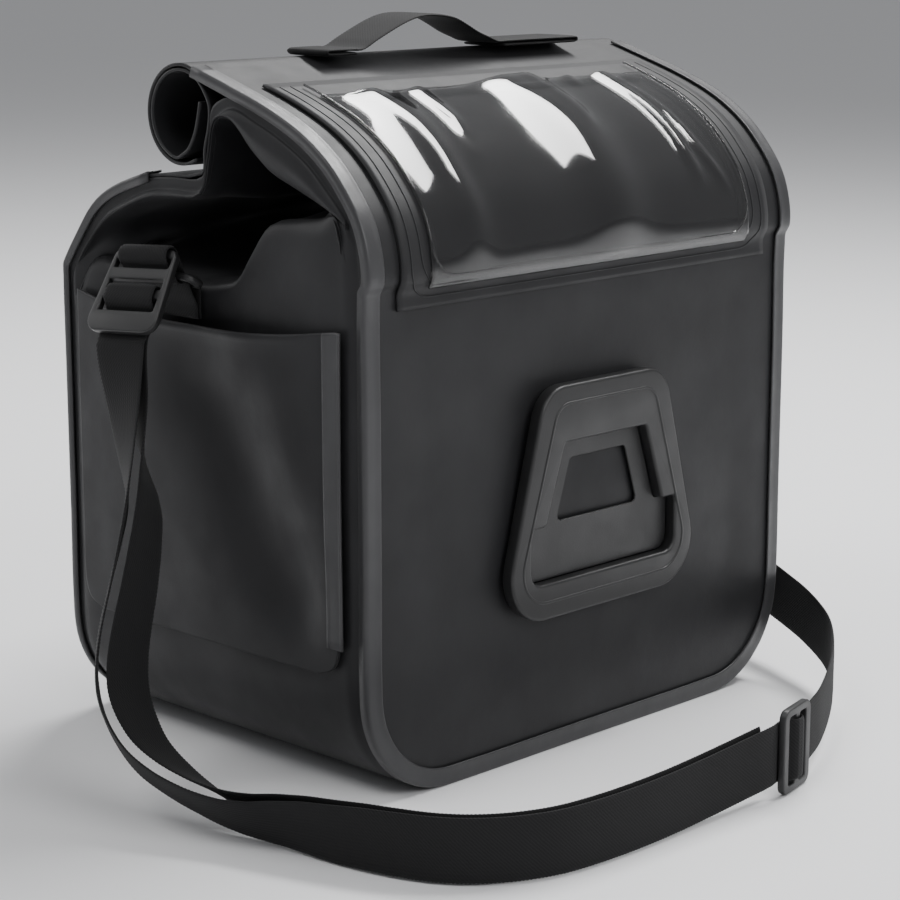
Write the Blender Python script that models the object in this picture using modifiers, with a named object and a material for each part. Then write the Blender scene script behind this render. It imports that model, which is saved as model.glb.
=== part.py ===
"""Roll-top bicycle bag with a bracket socket on its front, two side pockets and a shoulder strap.

Metres, +Z up. The origin is the middle of the base, +X runs along the front and +Y away from it.
"""
import math

import bmesh
import bpy
from mathutils import Matrix, Vector

# Driving sizes of the bag body
WIDTH = 0.256
DEPTH = 0.180
SHOULDER = 0.200
ROLL_TOP = 0.281
CORNER_RADIUS = 0.045
CORNER_SPANS = 5
SHEET = 0.0012
TAPE = 0.0010
GAP = 0.0003

# Rolled closure and folded ends
ROLL_RADIUS = 0.020
ROLL_BACK = 0.0140
LAYER_GAP = 0.0008
FOLD_DEPTH = 0.088
BAND_WIDTH = 0.020
BAND_BELLY = 0.0012
LIP_ROLL = 0.007
LIP_TURN = 0.003
FIRM_DEPTH = 0.010
STEEP = 0.8
HANG = 0.25
FLAT_STEP = 0.006
PANEL_BULGE = 0.0030
SIDE_BULGE = 0.0030

# Welded edge tape
TAPE_FACE = 0.008
TAPE_SIDE = 0.003
TAPE_RECESS = 0.0045
TAPE_END = 0.0055
TAPE_ROUND = 0.0012

# Side pockets
POCKET_FLOOR = 0.051
POCKET_HEM = 0.186
POCKET_FRONT = 0.078
POCKET_REAR = 0.078
POCKET_CORNER = 0.012
POCKET_MOUTH = 0.0075
POCKET_EASE = 0.0013
HEM_SAG = 0.006
POCKET_TAPE_LAP = 0.0035
HEM_BEAD = 0.0006
POCKET_SHARES = (0.0, 0.03, 0.09, 0.25, 0.44, 0.62, 0.80, 0.965, 1.0)
POCKET_COLUMNS = (-1.0, -0.93, -0.65, -0.33, 0.0, 0.33, 0.65, 0.93, 1.0)

# Map pocket on the front slope
MAP_WIDTH = 0.222
MAP_FOOT = 0.193
MAP_RIM = 0.019
FILM = 0.0010
FILM_LAP = 0.004
FILM_RISE = 0.0012

# Bracket socket on the front
BRACKET_FOOT = 0.0595
BRACKET_HEIGHT = 0.0950
BRACKET_WIDE = 0.124
BRACKET_NARROW = 0.074
BRACKET_THICK = 0.0062
BRACKET_ROUND = 0.020
BRACKET_ROUND_TOP = 0.015
BRACKET_SOFT = 0.0014
SOCKET_FOOT = 0.0745
SOCKET_STEP = 0.098
SOCKET_TOP = 0.131
SOCKET_WIDE = 0.089
SOCKET_SHELF = 0.072
SOCKET_NARROW = 0.050
SOCKET_ROUND = 0.006
PLATE_THICK = 0.0012
CUTOUT_ROUND = 0.002
CUTOUT_FOOT = 0.098
CUTOUT_TOP = 0.123
CUTOUT_WIDE = 0.050
CUTOUT_NARROW = 0.034

# Webbing, handle and strap hardware
WEBBING = 0.025
WEB_THICK = 0.0014
HANDLE_BACK = 0.008
HANDLE_LEFT = 0.064
HANDLE_RIGHT = 0.087
HANDLE_ARCH = 0.0124
HANDLE_LEVEL = 0.006
HANDLE_UNDER = 0.004
HANDLE_ARCH_LEFT = 0.044
HANDLE_ARCH_RIGHT = 0.036
BUCKLE_THICK = 0.0032
BUCKLE_LENGTH = 0.036
BUCKLE_TOP = 0.031
BUCKLE_FOOT = 0.036
BAR = 0.004
SLOT = 0.0042
FLAT_BAR = 0.0050
STRAP_SLOT = 0.0055
BUCKLE_OUT = 0.0170
BUCKLE_BACK = 0.013
BUCKLE_LEAN = (-0.56, -0.14, -0.82)
BUCKLE_TURN = 8.0
BUCKLE_ROUND_TOP = 0.0035
BUCKLE_ROUND_FOOT = 0.006
BUCKLE_SOFT = 0.0007
SLOT_ROUND = 0.0008
LOOP_RUN = 0.004
RING_WIRE = 0.0034
RING_WIDTH = 0.032
RING_CORNER = 0.0028
RING_ABOVE = 0.0100
RING_HIGH = POCKET_HEM + RING_ABOVE
BUCKLE_RISE = 0.0115
BUCKLE_HIGH = RING_HIGH + BUCKLE_RISE
RING_DROP = 0.0045
RING_BEHIND = 0.0085
TAB_DROP = 0.0140
TAB_PULL = 0.018
TAB_JOIN = 0.0090
TAB_NECK = 0.0035
SLIDER_SIDE = 0.008
SLIDER_FRONT = 0.1015
SLIDER_TURN = 12.5
SLIDER_HEIGHT = 0.0345
SLIDER_LENGTH = 0.024
SLIDER_THICK = 0.0030
SLIDER_SLOT = 0.0060
SLIDER_BAR = 0.0035
SLIDER_ROUND = 0.004
SLIDER_SLOT_ROUND = 0.001
SLIDER_SOFT = 0.0006
WEAVE_RUN = 0.004
WEAVE_EASE = 0.0026
WEAVE_TIGHT = 0.0022
WEAVE_DIP = 0.0002
SLOT_SLACK = 0.0009
LAYER_SLACK = 0.0018
STRAP_FLOOR = 0.0005

# Front slope from the shoulder to the roll: shares of the way back and of the way up
FRONT_SLOPE = (
    # back, up
    (-0.022, 0.06),
    (-0.014, 0.19),
    (0.022, 0.33),
    (0.085, 0.45),
    (0.190, 0.59),
    (0.330, 0.71),
    (0.510, 0.81),
    (0.700, 0.89),
)

# Rear slope from the shoulder to the fold under the roll: shares of the way forward and up
REAR_SLOPE = (
    # forward, up
    (0.010, 0.05),
    (0.090, 0.26),
    (0.230, 0.58),
    (0.380, 0.76),
    (0.640, 0.93),
)

# Inner layer of the roll, in roll radii from the roll's centre
ROLL_RISER = (
    # back, up
    (-0.680, -0.62),
    (-0.815, -0.15),
    (-0.835, 0.20),
)
ROLL_TONGUE = (
    # back, up
    (-0.180, -0.66),
    (-0.420, -0.26),
    (-0.560, 0.28),
)

# Folded end: a row for each upright section, from the front to the rear.
# back is a share of half the depth, crest a share of the closing line, lip and throat are
# shares of the shoulder height, band and depth shares of BAND_WIDTH and FOLD_DEPTH.
FOLD_ROWS = (
    # back, crest, lip, throat, band, depth
    (-0.845, 0.092, 1.138, 1.142, 0.36, 0.02),
    (-0.722, 0.133, 1.130, 1.144, 0.66, 0.18),
    (-0.556, 0.203, 1.120, 1.150, 0.90, 0.43),
    (-0.389, 0.281, 1.107, 1.155, 1.00, 0.68),
    (-0.267, 0.338, 1.050, 1.160, 0.85, 0.84),
    (-0.155, 0.393, 0.992, 1.160, 0.52, 0.95),
    (-0.050, 0.455, 0.978, 1.150, 0.30, 1.00),
    (0.035, 0.508, 0.974, 1.130, 0.30, 1.00),
    (0.110, 0.577, 0.976, 1.110, 0.38, 0.97),
    (0.222, 0.652, 0.978, 1.100, 0.42, 0.92),
    (0.345, 0.706, 0.982, 1.090, 0.42, 0.82),
    (0.511, 0.772, 0.987, 1.075, 0.42, 0.66),
    (0.667, 0.843, 0.991, 1.050, 0.42, 0.43),
    (0.800, 0.920, 0.992, 1.012, 0.38, 0.14),
)

# Long dent across each side: where it starts and ends, as shares of half the depth and the shoulder
DENT_TOP = (0.02, 0.88)
DENT_FOOT = (-0.62, 0.34)
DENT_DEPTH = 0.0045
DENT_WIDTH = 0.026
SIDE_RAMP = 0.034

# Heights of the gusset's wall points, as shares of the way from the bottom corner to the lip
WALL_SHARES = (0.22, 0.44, 0.66, 0.85)

# Shoulder strap, from the left buckle over the floor to the slider. Centre of the webbing as shares
# of half the width, half the depth and the shoulder; edge_* is where its first edge points; open is
# the angle in degrees between its two layers.
STRAP_LEFT = (
    # side, back, up, edge_side, edge_back, edge_up, open
    (-1.335, -0.030, 0.660, -0.45, -0.90, 0.00, 14.0),
    (-1.370, -0.080, 0.565, -0.68, -0.73, 0.00, 24.0),
    (-1.442, -0.090, 0.430, -0.64, -0.77, 0.10, 36.0),
    (-1.508, -0.115, 0.320, -0.60, -0.78, 0.16, 40.0),
    (-1.550, -0.200, 0.218, -0.60, -0.74, 0.36, 38.0),
    (-1.555, -0.410, 0.128, -0.60, -0.58, 0.58, 30.0),
    (-1.505, -0.710, 0.075, -0.62, -0.28, 0.66, 18.0),
    (-1.432, -1.000, 0.052, -0.55, -0.05, 0.78, 8.0),
    (-1.390, -1.250, 0.060, -0.30, 0.00, 0.95, 3.0),
    (-1.345, -1.500, 0.067, -0.10, 0.00, 1.00, 0.0),
    (-1.270, -1.760, 0.067, 0.00, 0.00, 1.00, 0.0),
    (-1.155, -1.950, 0.067, 0.00, 0.00, 1.00, 0.0),
    (-0.960, -2.085, 0.067, 0.00, 0.00, 1.00, 0.0),
    (-0.660, -2.125, 0.067, 0.00, 0.00, 1.00, 0.0),
    (-0.370, -2.125, 0.072, 0.00, 0.00, 1.00, 0.0),
)

# Shoulder strap from the slider round the right front corner and up to the right buckle
STRAP_RIGHT = (
    # side, back, up, edge_side, edge_back, edge_up, open
    (0.330, -1.980, 0.093, 0.00, 0.00, 1.00, 0.0),
    (0.560, -1.800, 0.098, 0.00, 0.00, 1.00, 0.0),
    (0.760, -1.610, 0.108, 0.00, 0.00, 1.00, 0.0),
    (0.905, -1.420, 0.126, 0.00, 0.00, 1.00, 0.0),
    (1.020, -1.150, 0.150, 0.00, -0.05, 1.00, 0.0),
    (1.120, -0.850, 0.168, 0.00, -0.10, 1.00, 0.0),
    (1.210, -0.540, 0.200, 0.00, -0.35, 0.95, 0.0),
    (1.290, -0.270, 0.290, 0.00, -0.75, 0.60, 0.0),
    (1.335, -0.120, 0.430, 0.00, -1.00, 0.20, 0.0),
    (1.345, -0.070, 0.590, 0.00, -1.00, 0.05, 0.0),
)

COLLECTION = "bicycle_bag"


def clear_scene():
    """Remove whatever the scene holds."""
    for thing in list(bpy.data.objects):
        bpy.data.objects.remove(thing, do_unlink=True)


def new_collection(name):
    """Collection that holds the bag's pieces."""
    collection = bpy.data.collections.new(name)
    bpy.context.scene.collection.children.link(collection)
    return collection


def principled(name, colour, roughness, alpha=1.0):
    """Plain Principled material."""
    material = bpy.data.materials.new(name)
    material.use_nodes = True
    shader = material.node_tree.nodes["Principled BSDF"]
    shader.inputs["Base Color"].default_value = (*colour, 1.0)
    shader.inputs["Roughness"].default_value = roughness
    shader.inputs["Metallic"].default_value = 0.0
    shader.inputs["Alpha"].default_value = alpha
    material.diffuse_color = (*colour, alpha)
    return material


def add_object(name, data, material, matrix=None):
    """Put a mesh or curve in the bag's collection with its own copy of a material."""
    thing = bpy.data.objects.new(name, data)
    data.materials.append(material.copy())
    data.materials[0].name = name + "_finish"
    if matrix is not None:
        thing.matrix_world = matrix
    bpy.data.collections[COLLECTION].objects.link(thing)
    return thing


def smooth(points, steps):
    """Points along a Catmull-Rom curve, with steps spans between each two given points."""
    ends = [points[0] * 2 - points[1]] + list(points) + [points[-1] * 2 - points[-2]]
    result = []
    for a, b, c, d in zip(ends, ends[1:], ends[2:], ends[3:]):
        for step in range(steps):
            t = step / steps
            result.append(
                (b * 2 + (c - a) * t + (a * 2 - b * 5 + c * 4 - d) * t ** 2
                 + (b * 3 - a - c * 3 + d) * t ** 3) / 2)
    result.append(points[-1].copy())
    return result


def arc(centre, radius, start, stop, spans):
    """Points on an arc, in degrees, both ends included."""
    angles = [math.radians(start + (stop - start) * i / spans) for i in range(spans + 1)]
    return [centre + Vector((math.cos(a), math.sin(a))) * radius for a in angles]


def lengths_along(points):
    """Distance from the first point to each point of a polyline."""
    total = [0.0]
    for a, b in zip(points, points[1:]):
        total.append(total[-1] + (b - a).length)
    return total


def point_along(points, share):
    """Point at a share of a polyline's length, and the direction there."""
    marks = lengths_along(points)
    goal = share * marks[-1]
    for index in range(len(points) - 1):
        if goal <= marks[index + 1] or index == len(points) - 2:
            span = points[index + 1] - points[index]
            part = (goal - marks[index]) / (marks[index + 1] - marks[index])
            return points[index] + span * part, span.normalized()
    raise ValueError("a polyline has two points or more")


def normals_of(path, side):
    """Unit normals of a path in the YZ plane; side is 1 for its left hand and -1 for its right."""
    result = []
    last = len(path) - 1
    for i in range(len(path)):
        along = (path[min(i + 1, last)] - path[max(i - 1, 0)]).normalized()
        result.append(Vector((-along.y, along.x)) * side)
    return result


def sheet_mesh(name, rows, flip=False, closed_rows=False, closed_columns=False, skip=None):
    """Open grid through rows of points; skip(row, column) leaves a face out."""
    columns = len(rows[0])
    mesh = bpy.data.meshes.new(name)
    shape = bmesh.new()
    grid = [[shape.verts.new(point) for point in row] for row in rows]
    for i in range(len(rows) if closed_rows else len(rows) - 1):
        for j in range(columns if closed_columns else columns - 1):
            if skip and skip(i, j):
                continue
            after, beside = (i + 1) % len(rows), (j + 1) % columns
            face = [grid[i][j], grid[after][j], grid[after][beside], grid[i][beside]]
            shape.faces.new(face[::-1] if flip else face)
    loose = [vert for vert in shape.verts if not vert.link_faces]
    bmesh.ops.delete(shape, geom=loose, context="VERTS")
    shape.to_mesh(mesh)
    shape.free()
    mesh.shade_smooth()
    return mesh


def sheet_object(name, rows, thickness, material, offset=-1.0, even=True, **layout):
    """Sheet of even thickness; offset -1 grows it inward from the given surface, 0 to both sides."""
    thing = add_object(name, sheet_mesh(name, rows, **layout), material)
    shell = thing.modifiers.new("thickness", "SOLIDIFY")
    shell.thickness = thickness
    shell.offset = offset
    shell.use_even_offset = even
    return thing


def flat_plate(name, outlines, thickness, rounding, matrix, material):
    """Flat plate from closed outlines, the first one outside and the rest holes."""
    curve = bpy.data.curves.new(name, "CURVE")
    curve.dimensions = "2D"
    curve.fill_mode = "BOTH"
    curve.extrude = thickness / 2 - rounding
    curve.bevel_depth = rounding
    curve.bevel_resolution = 0
    curve.offset = -rounding
    for outline in outlines:
        spline = curve.splines.new("POLY")
        spline.points.add(len(outline) - 1)
        for point, place in zip(spline.points, outline):
            point.co = (place[0], place[1], 0.0, 1.0)
        spline.use_cyclic_u = True
    return add_object(name, curve, material, matrix)


def rounded_outline(corners, radii, steps):
    """Outline through corners, each rounded by its own radius."""
    result = []
    count = len(corners)
    for i in range(count):
        corner = Vector(corners[i])
        before = (Vector(corners[i - 1]) - corner).normalized()
        after = (Vector(corners[(i + 1) % count]) - corner).normalized()
        half = before.angle(after) / 2
        reach = radii[i] / math.tan(half)
        middle = corner + (before + after).normalized() * (radii[i] / math.sin(half))
        start = corner + before * reach - middle
        turn = (corner + after * reach - middle).angle_signed(start)
        for step in range(steps + 1):
            spin = Matrix.Rotation(turn * step / steps, 2)
            result.append(middle + spin @ start)
    return result


def body_half_width(height, inset):
    """Half the bag's width at a height, with its rounded bottom corners, inset from the outside."""
    if height >= CORNER_RADIUS:
        return WIDTH / 2 - inset
    radius = CORNER_RADIUS - inset
    drop = max(-radius, height - CORNER_RADIUS)
    return WIDTH / 2 - CORNER_RADIUS + math.sqrt(max(0.0, radius ** 2 - drop ** 2))


def roll_centre():
    """Centre of the roll in (y, z)."""
    return Vector((ROLL_BACK, ROLL_TOP - ROLL_RADIUS))


def front_slope_path():
    """Outside of the front sheet from the shoulder to its end under the roll, as (y, z)."""
    centre = roll_centre()
    start = Vector((-DEPTH / 2, SHOULDER))
    run = centre.x - start.x
    rise = ROLL_TOP - SHOULDER
    slope = [start] + [start + Vector((back * run, up * rise)) for back, up in FRONT_SLOPE]
    roll = arc(centre, ROLL_RADIUS, 116, -118, 13)
    return smooth(slope + [roll[0]], 1)[:-1] + roll


def rear_slope_path():
    """Outside of the rear sheet from the shoulder into the roll, as (y, z)."""
    centre = roll_centre()
    inner = ROLL_RADIUS - 2 * SHEET - LAYER_GAP
    start = Vector((DEPTH / 2, SHOULDER - 0.03 * SHOULDER))
    fold = centre + Vector((-0.60 * ROLL_RADIUS, -ROLL_RADIUS - 2 * LAYER_GAP))
    slope = [start]
    for forward, up in REAR_SLOPE:
        slope.append(start + Vector((forward * (fold.x - start.x), up * (fold.y - start.y))))
    riser = [centre + Vector(row) * ROLL_RADIUS for row in ROLL_RISER]
    turns = arc(centre, inner, 150, -80, 11)
    tongue = [centre + Vector(row) * ROLL_RADIUS for row in ROLL_TONGUE]
    return slope + [fold] + riser + turns + smooth([turns[-1]] + tongue, 2)[1:]


def offset_path(path, side, distance):
    """Path moved sideways by a distance."""
    return [point + normal * distance for point, normal in zip(path, normals_of(path, side))]


def closing_line():
    """Line on which the folded ends meet the sheets: under the front, down the riser, under the rear."""
    clear = SHEET + GAP
    front = offset_path(front_slope_path(), -1, clear)
    rear = rear_slope_path()
    fold = len(REAR_SLOPE) + 1
    riser = [point - Vector((2 * clear, 0.0)) for point in rear[fold + 1:fold + 4]]
    start = Vector((-DEPTH / 2 + clear, SHOULDER * 1.06))
    under_front = [point for point in front[2:] if start.x + GAP < point.x < riser[-1].x - clear]
    under_rear = offset_path(rear, 1, clear)[1:fold]
    turn = rear[fold] - Vector((2 * clear, clear))
    end = Vector((DEPTH / 2 - clear, under_rear[0].y - clear))
    return [start] + under_front + riser[::-1] + [turn] + under_rear[::-1] + [end]


def share_at(line, back):
    """Share of a line's length where it first reaches a place toward the back."""
    marks = lengths_along(line)
    for index in range(1, len(line)):
        if line[index].x >= back:
            span = line[index].x - line[index - 1].x
            part = (back - line[index - 1].x) / span if span > GAP / 10 else 0.0
            return (marks[index - 1] + (marks[index] - marks[index - 1]) * max(0.0, part)) / marks[-1]
    return 1.0


def side_form(back, height):
    """How far a side stands out of its flat plane: a soft bulge less the long dent."""
    share = min(1.0, abs(back) / (DEPTH / 2 - 2 * TAPE_SIDE))
    rise = max(0.0, min(1.0, (height - CORNER_RADIUS / 2) / (SHOULDER - CORNER_RADIUS / 2)))
    bulge = SIDE_BULGE * (1 - share ** 2) * math.sin(math.pi * rise)
    top = Vector((DENT_TOP[0] * DEPTH / 2, DENT_TOP[1] * SHOULDER))
    foot = Vector((DENT_FOOT[0] * DEPTH / 2, DENT_FOOT[1] * SHOULDER))
    line = foot - top
    offset = Vector((back, height)) - top
    along = max(0.0, min(1.0, offset.dot(line) / line.length_squared))
    away = (offset - line * along).length
    dent = DENT_DEPTH * (1 - share ** 4) * math.exp(-(away / DENT_WIDTH) ** 2)
    return (bulge - dent) * max(0.0, min(1.0, (height - CORNER_RADIUS) / SIDE_RAMP))


def wall_recess(back, height):
    """How far the wall behind a pocket's mouth is pushed in, which holds the pocket open."""
    across = max(0.0, 1 - (back / (POCKET_FRONT * 0.8)) ** 2)
    rise = math.exp(-((height - POCKET_HEM) / (0.35 * POCKET_HEM)) ** 2)
    return POCKET_MOUTH * 0.45 * across * rise


def wall_stand(back, height):
    """How far the gusset's wall stands out; the ring's tab pulls it back to its flat plane."""
    away = Vector((back - BUCKLE_BACK, height - (RING_HIGH - TAB_DROP / 2)))
    pull = math.exp(-away.length_squared / TAB_PULL ** 2)
    return (side_form(back, height) - wall_recess(back, height)) * (1 - pull)


def gusset_half(back, crest, crest_in, fold, inset, spread):
    """One side of the gusset's section: base, rounded corner, wall and folded end."""
    lip, throat, band, depth = fold
    half = WIDTH / 2
    points = [Vector((0.0, back, inset))]
    middle = Vector((half - CORNER_RADIUS, CORNER_RADIUS))
    for place in arc(middle, CORNER_RADIUS - inset, -90, 0, CORNER_SPANS):
        points.append(Vector((place.x, back, place.y)))
    foot = CORNER_RADIUS
    for share in WALL_SHARES:
        height = foot + (lip - foot) * share
        stand = 0.0 if inset else wall_stand(back, height)
        points.append(Vector((half - inset + stand, back, height)))
    edge = half - inset
    stand = 0.0 if inset else wall_stand(back, lip - LIP_ROLL)
    firm = min(1.0, depth / FIRM_DEPTH)
    inner_back = back * (1 - 0.20 * firm)
    band_foot = crest + crest_in * band
    turned = edge - LIP_TURN * firm
    points.append(Vector((edge + stand, back, lip - LIP_ROLL)))
    points.append(Vector((turned + stand * 0.6, back, lip)))
    for reach, rise in ((0.30, 0.10), (0.70, 0.48)):
        points.append(Vector((turned - depth * reach,
                              back + (inner_back - back) * reach, lip + (throat - lip) * rise)))
    points.append(Vector((turned - depth, inner_back, throat)))
    for reach, rise in ((0.66, 0.50), (0.24, 0.86)):
        points.append(Vector((turned - depth * reach,
                              band_foot.x + (inner_back - band_foot.x) * reach,
                              throat + (band_foot.y - throat) * rise)))
    points.append(Vector((turned, band_foot.x, band_foot.y)))
    under, tape_end = TAPE_RECESS * spread, TAPE_END * spread
    belly = crest + crest_in * (tape_end + (band - tape_end) * 0.45)
    points.append(Vector((edge + BAND_BELLY * firm, belly.x, belly.y)))
    for distance, step in ((tape_end, inset), (under, TAPE + GAP), (0.0, TAPE + GAP)):
        place = crest + crest_in * distance
        points.append(Vector((half - step, place.x, place.y)))
    return points


def gusset_rows():
    """Sections of the gusset from the front to the rear, each from one closing edge to the other."""
    line = closing_line()
    half = DEPTH / 2
    inset = TAPE + GAP
    ends = (half - SHEET - GAP, half - TAPE_RECESS, half - TAPE_SIDE - TAPE_END)
    sections = []
    for place, step in zip(ends, (inset, inset, 0.0)):
        sections.append((-place, share_at(line, -place), step, None))
    for back, crest, lip, throat, band, depth in FOLD_ROWS:
        fold = (lip * SHOULDER, throat * SHOULDER, band * BAND_WIDTH, depth * FOLD_DEPTH)
        sections.append((back * half, crest, 0.0, fold))
    for place, step in zip(ends[::-1], (0.0, inset, inset)):
        sections.append((place, share_at(line, place), step, None))
    rows = []
    for back, share, step, fold in sections:
        crest, along = point_along(line, share)
        crest_in = Vector((along.y, -along.x))
        spread = 1.0
        if abs(along.y) > STEEP:
            crest_in = Vector((math.copysign(HANG, along.y), -1.0)).normalized()
        if fold is None:
            spread = 1.0 / max(HANG, abs(along.x))
            crest_in = Vector((0.0, -1.0))
            band = TAPE_END * spread + 2 * GAP
            foot = crest.y - band
            fold = (foot - 2 * FLAT_STEP, foot - FLAT_STEP, band, 0.0)
        right = gusset_half(back, crest, crest_in, fold, step, spread)
        left = [Vector((-point.x, point.y, point.z)) for point in right]
        rows.append(right[:0:-1] + left)
    return rows


def make_gusset(fabric):
    """Strip round the base and sides, with its ends folded inward under the roll."""
    return sheet_object("gusset", gusset_rows(), SHEET, fabric, even=False, flip=True)


def panel_columns():
    """Shares across a panel: 1 at its edge, and up to inner for the part that bulges."""
    return (0.78, 0.40)


def panel_form(side, height):
    """How far a panel bulges out at a place on its face."""
    width = body_half_width(height, 0.0) - TAPE_FACE - 2 * GAP
    foot = TAPE_FACE + 2 * GAP
    if height <= foot or height >= SHOULDER or width <= 0:
        return 0.0
    share = min(1.0, abs(side) / width)
    return PANEL_BULGE * (1 - share ** 2) * math.sin(math.pi * (height - foot) / (SHOULDER - foot))


def panel_rows(path, outward):
    """Rows of a whole sheet: the upright panel, then the path of its slope and roll."""
    inset = TAPE + 2 * GAP
    face = path[0].x
    rows = []
    upright = [CORNER_RADIUS - (CORNER_RADIUS - inset) * math.cos(math.radians(90 * a / CORNER_SPANS))
               for a in range(CORNER_SPANS)]
    upright += [CORNER_RADIUS + (path[0].y - CORNER_RADIUS) * s for s in (0.0, 0.25, 0.50, 0.75)]
    for height in upright:
        half = body_half_width(height, inset)
        flat = half - TAPE_FACE
        sides = [-half, -flat] + [-flat * s for s in panel_columns()] + [0.0]
        sides += [-side for side in sides[-2::-1]]
        rows.append([Vector((side, face + outward * panel_form(side, height), height))
                     for side in sides])
    half = WIDTH / 2 - inset
    flat = half - TAPE_FACE
    sides = [-half, -flat] + [-flat * s for s in panel_columns()] + [0.0]
    sides += [-side for side in sides[-2::-1]]
    for point in path:
        rows.append([Vector((side, point.x, point.y)) for side in sides])
    return rows


def make_front_sheet(fabric):
    """Front panel, slope and outer layer of the roll in one sheet."""
    return sheet_object("front_sheet", panel_rows(front_slope_path(), -1), SHEET, fabric, flip=True)


def make_rear_sheet(fabric):
    """Rear panel, slope and inner layer of the roll in one sheet."""
    return sheet_object("rear_sheet", panel_rows(rear_slope_path(), 1), SHEET, fabric)


def tape_route(path, stop):
    """Edge of a sheet as (point, face normal, side normal), from one roll end round to the other."""
    face = -1 if path[0].x < 0 else 1
    normals = normals_of(path, 1 if face < 0 else -1)
    half = WIDTH / 2
    route = []
    for point, normal in list(zip(path, normals))[stop::-1]:
        route.append((Vector((-half, point.x, point.y)), Vector((0.0, normal.x, normal.y)),
                      Vector((-1.0, 0.0, 0.0))))
    plane, out = path[0].x, Vector((0.0, face, 0.0))
    for height in (0.7, 0.3):
        place = CORNER_RADIUS + (path[0].y - CORNER_RADIUS) * height
        route.append((Vector((-half, plane, place)), out, Vector((-1.0, 0.0, 0.0))))
    for step in range(CORNER_SPANS + 1):
        turn = math.radians(180 + 90 * step / CORNER_SPANS)
        side = Vector((math.cos(turn), 0.0, math.sin(turn)))
        middle = Vector((CORNER_RADIUS - half, plane, CORNER_RADIUS))
        route.append((middle + side * CORNER_RADIUS, out, side))
    mirrored = [(Vector((-p.x, p.y, p.z)), n.copy(), Vector((-s.x, s.y, s.z))) for p, n, s in route]
    middle = [(Vector((0.0, plane, 0.0)), out, Vector((0.0, 0.0, -1.0)))]
    return route + middle + mirrored[::-1]


def make_edge_tape(name, path, stop, tape):
    """Tape that wraps the edge between a sheet and the gusset."""
    lift = GAP + TAPE
    rows = []
    for point, face, side in tape_route(path, stop):
        corner = point + face * lift
        row = [corner - side * TAPE_FACE]
        row.append(corner - side * TAPE_ROUND)
        row.append(corner - face * TAPE_ROUND)
        row.append(corner - face * (TAPE_SIDE + lift))
        rows.append(row)
    return sheet_object(name, rows, TAPE, tape, flip=path[0].x < 0)


def pocket_height(share, back):
    """Height on a side pocket: share 0 at its foot and 1 at its sagging hem."""
    sag = HEM_SAG * (1 - (back / POCKET_FRONT) ** 2)
    return POCKET_FLOOR + (POCKET_HEM - sag - POCKET_FLOOR) * share


def pocket_point(side, share, column):
    """Point on a side pocket's outer face: share up from its foot, column across from -1 to 1."""
    rise = min(POCKET_CORNER, share * (POCKET_HEM - POCKET_FLOOR))
    cut = POCKET_CORNER - math.sqrt(max(0.0, 2 * POCKET_CORNER * rise - rise ** 2))
    back = column * ((POCKET_FRONT if column < 0 else POCKET_REAR) - cut)
    height = pocket_height(share, back)
    lift = POCKET_EASE + SHEET + POCKET_MOUTH * 0.55 * (1 - column ** 2) * share ** 2
    if share > POCKET_SHARES[-3]:
        lift += HEM_BEAD * (1 - column ** 4)
    return Vector((side * (WIDTH / 2 + side_form(back, height) + lift), back, height))


def pocket_rows(side):
    """Outer face of a side pocket from its foot to its hem."""
    return [[pocket_point(side, share, column) for column in POCKET_COLUMNS]
            for share in POCKET_SHARES]


def make_side_pocket(name, side, fabric):
    """Open-topped pocket welded to one side along its edges."""
    return sheet_object(name, pocket_rows(side), SHEET, fabric, flip=side > 0)


def make_pocket_tape(name, side, tape):
    """Tape over the front edge of a side pocket."""
    rows = []
    for share in POCKET_SHARES[2:]:
        row = []
        for column in (-1.0 - POCKET_TAPE_LAP / POCKET_FRONT, -1.0, POCKET_COLUMNS[1]):
            place = pocket_point(side, share, max(-1.0, column))
            place.x += side * (GAP + TAPE)
            place.y = column * POCKET_FRONT
            row.append(place)
        rows.append(row)
    return sheet_object(name, rows, TAPE, tape, flip=side > 0)


def slope_sheet(places, lift, sides, rise):
    """Rows over the front slope at (point, normal) places, lifted off it and raised in the middle."""
    rows = []
    last = len(places) - 1
    for step, (place, normal) in enumerate(places):
        row = []
        for side in sides:
            hump = rise * math.sin(math.pi * step / last) * (1 - (side / sides[-1]) ** 2)
            spot = place + normal * (lift + hump + panel_form(side, place.y))
            row.append(Vector((side, spot.x, spot.y)))
        rows.append(row)
    return rows


def make_map_pocket(fabric, film):
    """Border sheet welded to the front slope, and the clear window over its opening."""
    path = front_slope_path()
    stop = len(FRONT_SLOPE)
    places = list(zip(path, normals_of(path, 1)))[:stop + 1]
    foot = Vector((path[0].x, MAP_FOOT))
    places = [(foot, Vector((-1.0, 0.0)))] + places
    half = MAP_WIDTH / 2
    inner = half - MAP_RIM
    sides = [-half, -inner, -inner * 0.6, -inner * 0.2, inner * 0.2, inner * 0.6, inner, half]
    rows = slope_sheet(places, GAP + SHEET, sides, 0.0)
    low, high = 2, len(rows) - 2
    sheet_object("map_pocket", rows, SHEET, fabric, flip=True,
                 skip=lambda i, j: low <= i < high and 1 <= j <= len(sides) - 3)
    below = places[low][0] + (places[low - 1][0] - places[low][0]).normalized() * FILM_LAP
    above = places[high][0] + (places[high + 1][0] - places[high][0]).normalized() * FILM_LAP
    spread = [(below, places[low - 1][1])] + places[low:high + 1] + [(above, places[high + 1][1])]
    edge = inner + FILM_LAP
    sides = [edge * share for share in (-1.0, -0.8, -0.5, -0.2, 0.2, 0.5, 0.8, 1.0)]
    rows = slope_sheet(spread, 2 * GAP + SHEET + FILM, sides, FILM_RISE)
    sheet_object("map_window", rows, FILM, film, flip=True)


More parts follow.
